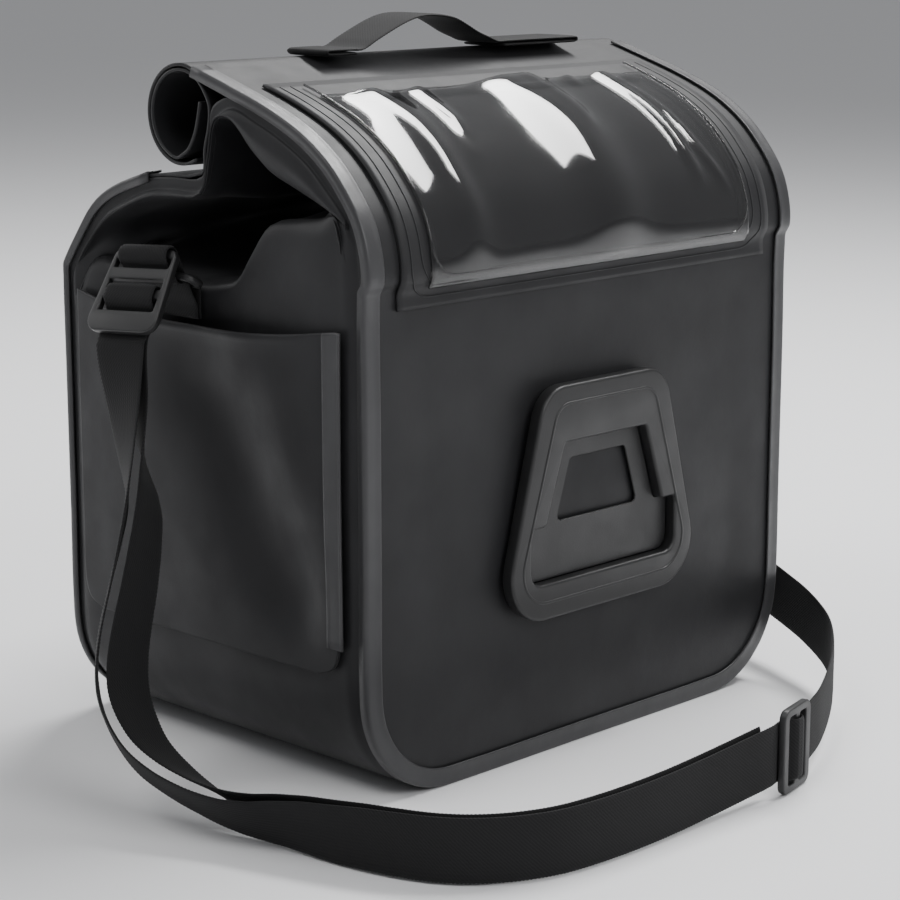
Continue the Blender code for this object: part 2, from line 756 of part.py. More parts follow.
def bracket_matrix(face):
    """Frame of the bracket's plates: x along the front, y up, z out of the front."""
    return Matrix.Translation((0.0, face, 0.0)) @ Matrix.Rotation(math.radians(90), 4, "X")


def socket_outline(grow, round_corner):
    """Stepped outline of the bracket's window, grown or shrunk all round."""
    wide, shelf, narrow = (size / 2 + grow for size in (SOCKET_WIDE, SOCKET_SHELF, SOCKET_NARROW))
    foot, top = SOCKET_FOOT - grow, SOCKET_TOP + grow
    corners = [(-wide, foot), (wide, foot), (wide, SOCKET_STEP + grow), (shelf, SOCKET_STEP + grow),
               (narrow, top), (-narrow, top), (-shelf, SOCKET_STEP + grow), (-wide, SOCKET_STEP + grow)]
    small = round_corner / 3
    radii = [round_corner, round_corner, small, small, small, small, small, small]
    return rounded_outline(corners, radii, 3)


def make_bracket(plastic):
    """Trapezoid frame and, deep in its window, the socket's back plate."""
    wide, narrow = BRACKET_WIDE / 2, BRACKET_NARROW / 2
    top = BRACKET_FOOT + BRACKET_HEIGHT
    corners = [(-wide, BRACKET_FOOT), (wide, BRACKET_FOOT), (narrow, top), (-narrow, top)]
    radii = [BRACKET_ROUND, BRACKET_ROUND, BRACKET_ROUND_TOP, BRACKET_ROUND_TOP]
    outline = rounded_outline(corners, radii, 6)
    back = -DEPTH / 2 - PANEL_BULGE - GAP
    flat_plate("bracket_frame", [outline, socket_outline(0.0, SOCKET_ROUND)], BRACKET_THICK,
               BRACKET_SOFT, bracket_matrix(back - BRACKET_THICK / 2), plastic)
    cut_wide, cut_narrow = CUTOUT_WIDE / 2, CUTOUT_NARROW / 2
    cut = rounded_outline([(-cut_wide, CUTOUT_FOOT), (cut_wide, CUTOUT_FOOT),
                           (cut_narrow, CUTOUT_TOP), (-cut_narrow, CUTOUT_TOP)], [CUTOUT_ROUND] * 4, 2)
    flat_plate("bracket_plate", [socket_outline(-GAP, SOCKET_ROUND - GAP), cut], PLATE_THICK,
               GAP, bracket_matrix(back - PLATE_THICK / 2), plastic)


def ribbon(name, stations, material, closed=False):
    """Webbing through stations of (centre, edge direction)."""
    rows = []
    last = len(stations) - 1
    for i, (centre, edge) in enumerate(stations):
        if closed:
            along = stations[(i + 1) % len(stations)][0] - stations[i - 1][0]
        else:
            along = stations[min(i + 1, last)][0] - stations[max(i - 1, 0)][0]
        across = (edge - along * (edge.dot(along) / along.length_squared)).normalized()
        rows.append([centre + across * (WEBBING / 2), centre - across * (WEBBING / 2)])
    return sheet_object(name, rows, WEB_THICK, material, offset=0.0, closed_rows=closed)


def make_handle(webbing):
    """Carrying handle: webbing along the roll with both ends folded under and stitched."""
    low = ROLL_TOP + GAP + WEB_THICK / 2
    high = low + WEB_THICK + GAP
    fold = (high - low) / 2
    peak = high + HANDLE_ARCH
    left, right = HANDLE_LEFT - fold, HANDLE_RIGHT - fold
    arch_left, arch_right = HANDLE_ARCH_LEFT, HANDLE_ARCH_RIGHT
    profile = [Vector((-arch_left - HANDLE_UNDER, low)), Vector((-left, low))]
    profile += arc(Vector((-left, low + fold)), fold, -135, -225, 2)
    profile += [Vector((-left, high)), Vector((-arch_left - HANDLE_LEVEL, high))]
    arch = [Vector((-arch_left, high)), Vector((-0.66 * arch_left, high + 0.52 * HANDLE_ARCH)),
            Vector((-0.36 * arch_left, high + 0.90 * HANDLE_ARCH)), Vector((-0.10 * arch_left, peak)),
            Vector((0.28 * arch_right, high + 0.84 * HANDLE_ARCH)),
            Vector((0.66 * arch_right, high + 0.34 * HANDLE_ARCH)), Vector((arch_right, high))]
    profile += smooth(arch, 2)
    profile += [Vector((arch_right + HANDLE_LEVEL, high)), Vector((right, high))]
    profile += arc(Vector((right, low + fold)), fold, 45, -45, 2)
    profile += [Vector((right, low)), Vector((arch_right + HANDLE_UNDER, low))]
    edge = Vector((0.0, -1.0, 0.0))
    stations = [(Vector((point.x, HANDLE_BACK, point.y)), edge) for point in profile]
    return ribbon("handle", stations, webbing)


def buckle_frame(side):
    """Origin at the middle of a buckle's top bar, and its edge, down and out directions."""
    down = Vector(BUCKLE_LEAN).normalized()
    turn = math.radians(BUCKLE_TURN)
    edge = Vector((math.sin(turn), -math.cos(turn), 0.0))
    edge = (edge - down * edge.dot(down)).normalized()
    out = down.cross(edge)
    origin = Vector((-WIDTH / 2 - BUCKLE_OUT, BUCKLE_BACK, BUCKLE_HIGH))
    if side > 0:
        return tuple(Vector((-v.x, v.y, v.z)) for v in (origin, edge, down, out))
    return origin, edge, down, out


def in_buckle(frame, down, out):
    """Point in a buckle's frame."""
    return frame[0] + frame[2] * down + frame[3] * out


def bar_places():
    """Where each slot of the buckle starts and ends below its top edge."""
    first = (BAR, BAR + SLOT)
    second = (first[1] + FLAT_BAR, first[1] + FLAT_BAR + SLOT)
    third = (second[1] + BAR, second[1] + BAR + STRAP_SLOT)
    return first, second, third


def make_buckle(name, side, plastic):
    """Ladder-lock buckle: a flared plate with three slots."""
    frame = buckle_frame(side)
    across = frame[1]
    normal = across.cross(frame[2])
    matrix = Matrix((across, frame[2], normal)).transposed().to_4x4()
    matrix.translation = frame[0]
    top, foot, rise = BUCKLE_TOP / 2, BUCKLE_FOOT / 2, -BAR / 2
    corners = [(-top, rise), (top, rise), (foot, rise + BUCKLE_LENGTH), (-foot, rise + BUCKLE_LENGTH)]
    radii = [BUCKLE_ROUND_TOP, BUCKLE_ROUND_TOP, BUCKLE_ROUND_FOOT, BUCKLE_ROUND_FOOT]
    outlines = [rounded_outline(corners, radii, 3)]
    slot_half = WEBBING / 2 + 2 * GAP + SLOT_SLACK
    for start, stop in bar_places():
        low, high = rise + start, rise + stop
        box = [(-slot_half, low), (slot_half, low), (slot_half, high), (-slot_half, high)]
        outlines.append(rounded_outline(box, [SLOT_ROUND] * 4, 1))
    return flat_plate(name, outlines, BUCKLE_THICK, BUCKLE_SOFT, matrix, plastic)


def ring_bars(side):
    """Centres of a ring's bar at the wall and of its bar in the anchor webbing."""
    frame = buckle_frame(side)
    outer = in_buckle(frame, RING_DROP, -RING_BEHIND)
    wall = WIDTH / 2 + WEB_THICK + 2 * GAP + RING_WIRE / 2
    inner = Vector((side * wall, BUCKLE_BACK, RING_HIGH))
    return inner, outer


def make_ring(name, side, plastic):
    """Rectangular ring between the wall's tab and the anchor webbing."""
    inner, outer = ring_bars(side)
    edge = buckle_frame(side)[1] * (RING_WIDTH / 2)
    level = Vector((0.0, -RING_WIDTH / 2, 0.0))
    along = (outer - inner).normalized()
    curve = bpy.data.curves.new(name, "CURVE")
    curve.dimensions = "3D"
    curve.bevel_depth = RING_WIRE / 2
    curve.bevel_resolution = 2
    reach = (outer - inner).length
    corners = [(-RING_WIDTH / 2, 0.0), (RING_WIDTH / 2, 0.0), (RING_WIDTH / 2, reach),
               (-RING_WIDTH / 2, reach)]
    places = []
    for across, out in rounded_outline(corners, [RING_CORNER] * 4, 3):
        turn = level.lerp(edge, out / reach)
        places.append(inner + along * out + turn * (across / (RING_WIDTH / 2)))
    spline = curve.splines.new("POLY")
    spline.points.add(len(places) - 1)
    for point, place in zip(spline.points, places):
        point.co = (*place, 1.0)
    spline.use_cyclic_u = True
    return add_object(name, curve, plastic)


def belt(first, first_radius, second, second_radius, spans):
    """Closed path of a belt round two circles in one plane."""
    line = second - first
    lean = math.degrees(math.atan2(line.y, line.x))
    spread = math.degrees(math.acos((first_radius - second_radius) / line.length))
    path = arc(second, second_radius, lean - spread, lean + spread, spans)
    path += arc(first, first_radius, lean + spread, lean + 360 - spread, spans)
    return path


def make_anchor(name, side, webbing):
    """Closed loop of webbing round the buckle's top bar and the ring's outer bar."""
    frame = buckle_frame(side)
    outer = ring_bars(side)[1] - frame[0]
    goal = Vector((outer.dot(frame[2]), outer.dot(frame[3])))
    bar_corner = math.hypot(BAR / 2, BUCKLE_THICK / 2)
    path = belt(Vector((0.0, 0.0)), bar_corner + GAP + WEB_THICK / 2,
                goal, RING_WIRE / 2 + GAP + WEB_THICK / 2, 6)
    stations = [(in_buckle(frame, point.x, point.y), frame[1]) for point in path]
    return ribbon(name, stations, webbing, closed=True)


def make_ring_tab(name, side, webbing):
    """Tab of webbing welded to the wall and turned over the ring's inner bar."""
    inner = ring_bars(side)[0]
    turn = RING_WIRE / 2 + GAP + WEB_THICK / 2
    bar = Vector((abs(inner.x), inner.z))
    profile = [bar + Vector((-turn, -TAB_DROP)), bar + Vector((-turn, -TAB_NECK))]
    profile += arc(bar, turn, 180, 0, 6)
    outside = -turn + WEB_THICK + GAP
    profile += [bar + Vector((turn * 0.55, -TAB_NECK)), bar + Vector((outside, -TAB_JOIN)),
                bar + Vector((outside, -TAB_DROP))]
    edge = Vector((0.0, -1.0, 0.0))
    stations = [(Vector((side * point.x, inner.y, point.y)), edge) for point in profile]
    return ribbon(name, stations, webbing)


def slider_frame():
    """Middle of the slider, and its along, up and out directions."""
    turn = math.radians(SLIDER_TURN)
    along = Vector((math.cos(turn), math.sin(turn), 0.0))
    up = Vector((0.0, 0.0, 1.0))
    middle = Vector((SLIDER_SIDE, -DEPTH / 2 - SLIDER_FRONT, SLIDER_HEIGHT / 2 + STRAP_FLOOR))
    return middle, along, up, along.cross(up)


def make_slider(plastic):
    """Slider with two slots, standing on the floor round the strap."""
    middle, along, up, out = slider_frame()
    matrix = Matrix((along, up, out)).transposed().to_4x4()
    matrix.translation = middle
    wide, high = SLIDER_LENGTH / 2, SLIDER_HEIGHT / 2
    outline = rounded_outline([(-wide, -high), (wide, -high), (wide, high), (-wide, high)],
                              [SLIDER_ROUND] * 4, 3)
    slot_high = WEBBING / 2 + 2 * GAP + SLOT_SLACK
    bar = SLIDER_BAR / 2
    outlines = [outline]
    for sign in (-1, 1):
        near, far = sorted((sign * bar, sign * (bar + SLIDER_SLOT)))
        box = [(near, -slot_high), (far, -slot_high), (far, slot_high), (near, slot_high)]
        outlines.append(rounded_outline(box, [SLIDER_SLOT_ROUND] * 4, 2))
    return flat_plate("strap_slider", outlines, SLIDER_THICK, SLIDER_SOFT, matrix, plastic)


def strap_stations(table):
    """Stations of a strap table in metres: (centre, edge direction, opening angle)."""
    half, deep = WIDTH / 2, DEPTH / 2
    return [(Vector((row[0] * half, row[1] * deep, row[2] * SHOULDER)), Vector(row[3:6]), row[6])
            for row in table]


def settle(centre, edge, along, way):
    """Centre of the webbing, moved up one way where its lower edge would pass through the floor."""
    face = edge.cross(along).normalized()
    reach = abs(edge.normalized().z) * WEBBING / 2 + abs(face.z) * WEB_THICK / 2
    lift = max(0.0, reach + STRAP_FLOOR - centre.z)
    return centre + way * (lift / way.z) if lift else centre


def refine(stations, steps):
    """Stations on one smooth curve through the given ones."""
    centres = smooth([station[0] for station in stations], steps)
    edges = smooth([station[1].normalized() for station in stations], steps)
    opens = smooth([Vector((station[2], 0.0)) for station in stations], steps)
    result = []
    last = len(centres) - 1
    for i, (centre, edge, angle) in enumerate(zip(centres, edges, opens)):
        along = centres[min(i + 1, last)] - centres[max(i - 1, 0)]
        across = edge - along * (edge.dot(along) / along.length_squared)
        result.append((settle(centre, across, along, Vector((0.0, 0.0, 1.0))), across, angle.x))
    return result


def buckle_loop(side):
    """Webbing round a buckle's strap bar, from behind the bar to below the buckle's foot."""
    frame = buckle_frame(side)
    rise = -BAR / 2
    second, third = bar_places()[1:]
    near = BUCKLE_THICK / 2 + GAP + WEB_THICK / 2
    start, stop = rise + second[1], rise + third[0]
    middle, plate = (start + stop) / 2, rise + third[1]
    foot = rise + BUCKLE_LENGTH
    turn = near - BUCKLE_THICK / 2 + GAP
    path = [(middle, -near), (start, -near), (start - 0.75 * turn, -near + 0.35 * turn),
            (start - turn, -near / 2), (start - turn, near / 2), (start - 0.75 * turn, near - 0.35 * turn),
            (start, near), (stop, near), (stop + 0.75 * turn, near - 0.35 * turn),
            (stop + turn * 1.3, near / 2), (plate - turn * 1.3, -near / 2),
            (plate - 0.75 * turn, -near + 0.35 * turn), (plate, -near), (foot, -near),
            (foot + LOOP_RUN, -near - GAP)]
    return [(in_buckle(frame, down, out), frame[1], 0.0) for down, out in path]


def slider_weave():
    """Webbing through the slider: behind its end bars and in front of its middle bar."""
    middle, along, up, out = slider_frame()
    front = SLIDER_THICK / 2 + GAP + WEB_THICK / 2
    slot = SLIDER_BAR / 2 + SLIDER_SLOT / 2
    end = SLIDER_LENGTH / 2
    dip = front - WEAVE_DIP
    half = [(WEAVE_TIGHT - slot, dip), (-slot, 0.0), (-slot - WEAVE_EASE, -front), (-end - WEAVE_RUN, -front)]
    path = half[::-1] + [(0.0, front)] + [(-step, lift) for step, lift in half]
    return [(middle + along * step + out * lift, up, 0.0) for step, lift in path]


def make_strap(webbing):
    """Shoulder strap from buckle to buckle through the slider, and its second layer on the left."""
    left = strap_stations(STRAP_LEFT)
    right = strap_stations(STRAP_RIGHT)
    loop_left, loop_right = buckle_loop(-1), buckle_loop(1)
    weave = slider_weave()
    near = refine([loop_left[-1]] + left + [weave[0]], 2)
    far = refine([weave[-1]] + right + [loop_right[-1]], 2)
    stations = loop_left[:-1] + near[:-1] + weave + far[1:] + loop_right[-2::-1]
    ribbon("shoulder_strap", [(centre, edge) for centre, edge, _ in stations], webbing)
    ribbon("strap_second_layer", second_layer(near, buckle_frame(-1)), webbing)


def second_layer(stations, frame):
    """Stations of the strap's inner layer, which starts behind the buckle's bar and ends at the slider."""
    step_in = WEB_THICK + GAP
    near_bar = BUCKLE_THICK / 2 + GAP + WEB_THICK / 2
    stop, plate = (place - BAR / 2 for place in bar_places()[2])
    second = []
    for down, out in ((stop - BAR / 2 + 2 * GAP, -near_bar), (stop, -near_bar - GAP),
                      (stop + BAR / 2, -near_bar - step_in), (plate, -near_bar - step_in - GAP)):
        second.append((in_buckle(frame, down, out), frame[1]))
    for index in range(len(stations) - 1):
        centre, edge, angle = stations[index]
        along = (stations[index + 1][0] - stations[max(index - 1, 0)][0]).normalized()
        across = (edge - along * edge.dot(along)).normalized()
        out = along.cross(across)
        turned = Matrix.Rotation(math.radians(angle), 3, along) @ across
        inward = step_in + LAYER_SLACK * min(1, index) + GAP
        pivot = centre + across * (WEBBING / 2) - out * inward
        second.append((settle(pivot - turned * (WEBBING / 2), turned, along, turned), turned))
    return second


def build():
    """Make every piece of the bag."""
    clear_scene()
    new_collection(COLLECTION)
    fabric = principled("coated_fabric", (0.035, 0.036, 0.040), 0.55)
    tape = principled("edge_tape", (0.055, 0.056, 0.062), 0.45)
    webbing = principled("webbing", (0.018, 0.018, 0.020), 0.85)
    plastic = principled("moulded_plastic", (0.030, 0.031, 0.034), 0.50)
    film = principled("clear_film", (0.30, 0.31, 0.33), 0.08, alpha=0.45)
    front, rear = front_slope_path(), rear_slope_path()
    make_gusset(fabric)
    make_front_sheet(fabric)
    make_rear_sheet(fabric)
    make_edge_tape("front_edge_tape", front, len(FRONT_SLOPE) + 1, tape)
    make_edge_tape("rear_edge_tape", rear, len(REAR_SLOPE), tape)
    make_map_pocket(fabric, film)
    make_bracket(plastic)
    make_handle(webbing)
    for word, side in (("left", -1), ("right", 1)):
        make_side_pocket("side_pocket_" + word, side, fabric)
        make_pocket_tape("pocket_tape_" + word, side, tape)
        make_buckle("buckle_" + word, side, plastic)
        make_ring("ring_" + word, side, plastic)
        make_anchor("anchor_webbing_" + word, side, webbing)
        make_ring_tab("ring_tab_" + word, side, webbing)
    make_slider(plastic)
    make_strap(webbing)


build()
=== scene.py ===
# %% [markdown]
# # A roll-top bicycle bag in coated fabric
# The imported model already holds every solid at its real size. This lesson dresses it: fine cloth, ribbed
# webbing, moulded plastic and clear film take the place of the plain solids, in the same frame.
# Everything is in metres, +Z is up, +X runs along the front and +Y points away from it.

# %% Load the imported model
import math

import bpy
import numpy as np
from mathutils import Matrix, Vector, noise


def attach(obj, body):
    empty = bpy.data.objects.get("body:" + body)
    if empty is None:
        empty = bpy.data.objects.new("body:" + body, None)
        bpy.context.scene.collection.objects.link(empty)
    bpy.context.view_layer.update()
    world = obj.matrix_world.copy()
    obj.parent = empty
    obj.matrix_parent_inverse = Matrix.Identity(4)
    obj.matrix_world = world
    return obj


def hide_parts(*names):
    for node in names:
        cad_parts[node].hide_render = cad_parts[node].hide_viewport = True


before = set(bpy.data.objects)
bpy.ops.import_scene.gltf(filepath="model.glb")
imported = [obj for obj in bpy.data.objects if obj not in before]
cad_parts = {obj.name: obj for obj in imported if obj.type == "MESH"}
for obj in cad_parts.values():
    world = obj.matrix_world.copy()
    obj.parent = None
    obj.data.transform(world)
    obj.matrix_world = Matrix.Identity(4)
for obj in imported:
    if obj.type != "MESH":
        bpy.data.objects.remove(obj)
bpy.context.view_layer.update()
print("the packed model has", len(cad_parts), "nodes")

# %% [markdown]
# ## Camera
# The bag was seen from its left front corner, a little from above, through a long lens. A camera could be
# aimed by eye, but its place, turn and focal length were worked out from edges whose real lengths are
# known, so straight lines of the model fall where they fall in the picture.

# %% Camera
PHOTO_SIDE = 900
FOCAL_PIXELS = 2527.67
SENSOR = 36.0
CAMERA_PLACE = Vector((-0.76347, -0.75619, 0.34302))
CAMERA_TURN = math.radians(45.66)
CAMERA_DIP = math.radians(12.28)


def make_camera():
    """Camera at the picture's place, looking along its turn and dip."""
    lens = bpy.data.cameras.new("camera")
    lens.sensor_width = SENSOR
    lens.lens = FOCAL_PIXELS / PHOTO_SIDE * SENSOR
    camera = bpy.data.objects.new("camera", lens)
    level = math.cos(CAMERA_DIP)
    ahead = Vector((math.sin(CAMERA_TURN) * level, math.cos(CAMERA_TURN) * level, -math.sin(CAMERA_DIP)))
    camera.location = CAMERA_PLACE
    camera.rotation_euler = ahead.to_track_quat("-Z", "Y").to_euler()
    bpy.context.scene.collection.objects.link(camera)
    bpy.context.scene.camera = camera
    return camera


camera = make_camera()
print("camera lens", round(camera.data.lens, 1), "mm")

# %% [markdown]
# ## Floor and light
# A plain pale floor carries the bag. Black coated cloth shows its form only by soft reflections. One small
# lamp would leave it flat and dark, so the light is four large panels in pale surroundings: a tall narrow
# one high on the right that the clear film mirrors as white streaks, a broad one over the front, and two
# dim ones on the left and behind.

# %% Floor
FLOOR_SIDE = 40.0
FLOOR_COLOUR = (0.80, 0.80, 0.81, 1.0)
FLOOR_ROUGHNESS = 0.9


def make_floor():
    """Flat pale floor under the bag."""
    half = FLOOR_SIDE / 2
    mesh = bpy.data.meshes.new("floor")
    corners = [(-half, -half, 0.0), (half, -half, 0.0), (half, half, 0.0), (-half, half, 0.0)]
    mesh.from_pydata(corners, [], [(0, 1, 2, 3)])
    material = bpy.data.materials.new("floor_paint")
    material.use_nodes = True
    shader = material.node_tree.nodes["Principled BSDF"]
    shader.inputs["Base Color"].default_value = FLOOR_COLOUR
    shader.inputs["Roughness"].default_value = FLOOR_ROUGHNESS
    mesh.materials.append(material)
    floor = bpy.data.objects.new("floor", mesh)
    bpy.context.scene.collection.objects.link(floor)


make_floor()
print("floor", FLOOR_SIDE, "m square")

# %% Lights
WORLD_COLOUR = (0.80, 0.81, 0.83, 1.0)
WORLD_STRENGTH = 0.42
LIGHT_AIM = Vector((0.0, 0.0, 0.16))
MOSTLY_BACK = 0.6
LIGHTS = (
    # name, toward, away, width, height, power
    ("streak_panel", (0.50, 0.02, 0.80), 1.5, 0.34, 1.40, 44.0),
    ("front_panel", (-0.10, -0.95, 0.55), 1.9, 1.1, 0.9, 14.0),
    ("left_panel", (-0.70, 0.10, 0.95), 1.9, 0.6, 0.8, 9.0),
    ("rear_panel", (-0.30, 0.95, 0.45), 1.9, 1.2, 0.9, 7.0),
)


def make_lights():
    """Pale surroundings and the light panels, all aimed at the bag."""
    world = bpy.data.worlds.new("studio")
    world.use_nodes = True
    ground = world.node_tree.nodes["Background"]
    ground.inputs["Color"].default_value = WORLD_COLOUR
    ground.inputs["Strength"].default_value = WORLD_STRENGTH
    bpy.context.scene.world = world
    for name, toward, away, width, height, power in LIGHTS:
        panel = bpy.data.lights.new(name, "AREA")
        panel.shape = "RECTANGLE"
        panel.size, panel.size_y = width, height
        panel.energy = power
        thing = bpy.data.objects.new(name, panel)
        direction = Vector(toward).normalized()
        thing.location = LIGHT_AIM + direction * away
        across = direction.cross(Vector((0.0, 1.0, 0.0))).normalized()
        if abs(direction.y) > MOSTLY_BACK:
            across = Vector((0.0, 0.0, 1.0)).cross(direction).normalized()
        thing.rotation_euler = Matrix((across, direction.cross(across), direction)).transposed().to_euler()
        bpy.context.scene.collection.objects.link(thing)


make_lights()
print("lights", len(LIGHTS))

# %% [markdown]
# ## Finishes
# Five finishes cover the bag. Each could be a picture wrapped on the mesh, but layered noise gives the
# same grain at its real scale on every side: it is laid in metres on the object, so a grain of half a
# millimetre stays half a millimetre on every piece. Ribs and weave of the webbing follow a coordinate
# that the band's own mesh carries, across and along it.

# %% Helpers for the finishes
NOISE_LOW, NOISE_HIGH = 0.3, 0.7


def new_finish(name, roughness, specular=0.5, sheen=0.0, coat=0.0):
    """Material with its Principled shader and node tree."""
    material = bpy.data.materials.new(name)
    material.use_nodes = True
    shader = material.node_tree.nodes["Principled BSDF"]
    shader.inputs["Roughness"].default_value = roughness
    shader.inputs["Specular IOR Level"].default_value = specular
    shader.inputs["Sheen Weight"].default_value = sheen
    shader.inputs["Coat Weight"].default_value = coat
    return material, material.node_tree, shader


def speckle(tree, scale, detail=2.0, stretch=(1.0, 1.0, 1.0)):
    """Noise laid over a piece in metres."""
    place = tree.nodes.new("ShaderNodeTexCoord")
    mapping = tree.nodes.new("ShaderNodeMapping")
    mapping.inputs["Scale"].default_value = stretch
    texture = tree.nodes.new("ShaderNodeTexNoise")
    texture.inputs["Scale"].default_value = scale
    texture.inputs["Detail"].default_value = detail
    tree.links.new(place.outputs["Object"], mapping.inputs["Vector"])
    tree.links.new(mapping.outputs["Vector"], texture.inputs["Vector"])
    return texture.outputs["Fac"]


def tint(tree, shader, factor, dark, light):
    """Base colour that wanders between two tones."""
    ramp = tree.nodes.new("ShaderNodeValToRGB")
    ramp.color_ramp.elements[0].position = NOISE_LOW
    ramp.color_ramp.elements[0].color = (*dark, 1.0)
    ramp.color_ramp.elements[1].position = NOISE_HIGH
    ramp.color_ramp.elements[1].color = (*light, 1.0)
    tree.links.new(factor, ramp.inputs["Fac"])
    tree.links.new(ramp.outputs["Color"], shader.inputs["Base Color"])


def polish(tree, shader, factor, low, high):
    """Roughness that wanders between two values."""
    span = tree.nodes.new("ShaderNodeMapRange")
    span.inputs["From Min"].default_value = NOISE_LOW
    span.inputs["From Max"].default_value = NOISE_HIGH
    span.inputs["To Min"].default_value = low
    span.inputs["To Max"].default_value = high
    tree.links.new(factor, span.inputs["Value"])
    tree.links.new(span.outputs["Result"], shader.inputs["Roughness"])


def relief(tree, shader, height, distance, strength=1.0):
    """Bump of a depth in metres, over what bump the shader already has."""
    bump = tree.nodes.new("ShaderNodeBump")
    bump.inputs["Distance"].default_value = distance
    bump.inputs["Strength"].default_value = strength
    tree.links.new(height, bump.inputs["Height"])
    socket = shader.inputs["Normal"]
    if socket.links:
        tree.links.new(socket.links[0].from_socket, bump.inputs["Normal"])
    tree.links.new(bump.outputs["Normal"], socket)


print("noise between", NOISE_LOW, "and", NOISE_HIGH, "spans each range of tone and polish")

# %% Coated fabric
FABRIC_DARK, FABRIC_LIGHT = (0.0115, 0.0115, 0.0125), (0.0170, 0.0170, 0.0185)
FABRIC_POLISH = (0.46, 0.58)
# Lumps per metre of each noise, and the depth of its bump in metres
FABRIC_CLOUD, FABRIC_RUB = 22.0, 60.0
FABRIC_PEBBLE, PEBBLE_DEPTH = 2600.0, 0.00005
FABRIC_WAVE, WAVE_DEPTH = 150.0, 0.00022


def coated_fabric():
    """Matte coated cloth: a fine pebbled grain, faint handling marks and a soft sheen."""
    material, tree, shader = new_finish("coated_fabric", 0.5, specular=0.28, sheen=0.04)
    shader.inputs["Sheen Roughness"].default_value = 0.45
    tint(tree, shader, speckle(tree, FABRIC_CLOUD, 4.0), FABRIC_DARK, FABRIC_LIGHT)
    polish(tree, shader, speckle(tree, FABRIC_RUB, 5.0), *FABRIC_POLISH)
    relief(tree, shader, speckle(tree, FABRIC_PEBBLE, 1.0), PEBBLE_DEPTH, 0.8)
    relief(tree, shader, speckle(tree, FABRIC_WAVE, 3.0), WAVE_DEPTH, 0.35)
    return material


FABRIC = coated_fabric()
print("finish", FABRIC.name)


# %% Edge tape finish
TAPE_DARK, TAPE_LIGHT = (0.024, 0.024, 0.026), (0.032, 0.032, 0.034)
TAPE_POLISH = (0.36, 0.48)
TAPE_CLOUD, TAPE_RUB = 40.0, 120.0
TAPE_PEBBLE, TAPE_PEBBLE_DEPTH = 3200.0, 0.00004
TAPE_WAVE, TAPE_WAVE_DEPTH = 240.0, 0.00018


def edge_tape():
    """Smoother, paler tape that was pressed on by a hot roller."""
    material, tree, shader = new_finish("edge_tape", 0.42, specular=0.5, sheen=0.05)
    tint(tree, shader, speckle(tree, TAPE_CLOUD, 4.0), TAPE_DARK, TAPE_LIGHT)
    polish(tree, shader, speckle(tree, TAPE_RUB, 4.0), *TAPE_POLISH)
    relief(tree, shader, speckle(tree, TAPE_PEBBLE, 1.0), TAPE_PEBBLE_DEPTH, 0.7)
    relief(tree, shader, speckle(tree, TAPE_WAVE, 2.0), TAPE_WAVE_DEPTH, 0.3)
    return material


TAPE_FINISH = edge_tape()
print("finish", TAPE_FINISH.name)


# %% Webbing finish
YARN_DARK, YARN_LIGHT = (0.0065, 0.0065, 0.0070), (0.0115, 0.0115, 0.0120)
YARNS, YARN_TWIST, YARN_DEPTH = 420.0, 1.2, 0.00010
FIBRES, FIBRE_DEPTH = 3000.0, 0.00008


def woven_webbing():
    """Polyester webbing: twisted yarns that lean over each rib, dull, with loose fibres."""
    material, tree, shader = new_finish("webbing", 0.8, specular=0.22, sheen=0.06)
    shader.inputs["Sheen Roughness"].default_value = 0.5
    weave = tree.nodes.new("ShaderNodeAttribute")
    weave.attribute_name = "weave"
    yarn = tree.nodes.new("ShaderNodeTexWave")
    yarn.wave_type = "BANDS"
    yarn.bands_direction = "DIAGONAL"
    yarn.inputs["Scale"].default_value = YARNS
    yarn.inputs["Distortion"].default_value = YARN_TWIST
    tree.links.new(weave.outputs["Vector"], yarn.inputs["Vector"])
    tint(tree, shader, yarn.outputs["Fac"], YARN_DARK, YARN_LIGHT)
    relief(tree, shader, yarn.outputs["Fac"], YARN_DEPTH, 0.45)
    relief(tree, shader, speckle(tree, FIBRES, 2.0), FIBRE_DEPTH, 0.6)
    return material


WEBBING_FINISH = woven_webbing()
print("finish", WEBBING_FINISH.name)


# %% Moulded plastic
PLASTIC_DARK, PLASTIC_LIGHT = (0.0115, 0.0115, 0.0120), (0.0160, 0.0160, 0.0165)
PLASTIC_POLISH = (0.36, 0.48)
PLASTIC_CLOUD, PLASTIC_RUB = 30.0, 80.0
SPARK_GRAIN, SPARK_DEPTH = 1900.0, 0.00005


def moulded_plastic():
    """Spark-etched plastic: an even fine grain, a little glossier where hands rub it."""
    material, tree, shader = new_finish("moulded_plastic", 0.42, specular=0.5)
    tint(tree, shader, speckle(tree, PLASTIC_CLOUD, 3.0), PLASTIC_DARK, PLASTIC_LIGHT)
    polish(tree, shader, speckle(tree, PLASTIC_RUB, 3.0), *PLASTIC_POLISH)
    relief(tree, shader, speckle(tree, SPARK_GRAIN, 1.0), SPARK_DEPTH, 0.8)
    return material


PLASTIC = moulded_plastic()
print("finish", PLASTIC.name)


# %% Clear film finish
FILM_DARK, FILM_LIGHT = (0.014, 0.014, 0.015), (0.020, 0.020, 0.021)
FILM_POLISH = (0.05, 0.11)
FILM_CLOUD, FILM_RUB = 25.0, 70.0
FILM_ALPHA = 0.5


def clear_film():
    """Clear vinyl: glassy, faintly grey, with a little haze."""
    material, tree, shader = new_finish("clear_film", 0.07, specular=0.6, coat=0.9)
    shader.inputs["Coat Roughness"].default_value = 0.03
    shader.inputs["Alpha"].default_value = FILM_ALPHA
    tint(tree, shader, speckle(tree, FILM_CLOUD, 3.0), FILM_DARK, FILM_LIGHT)
    polish(tree, shader, speckle(tree, FILM_RUB, 4.0), *FILM_POLISH)
    return material


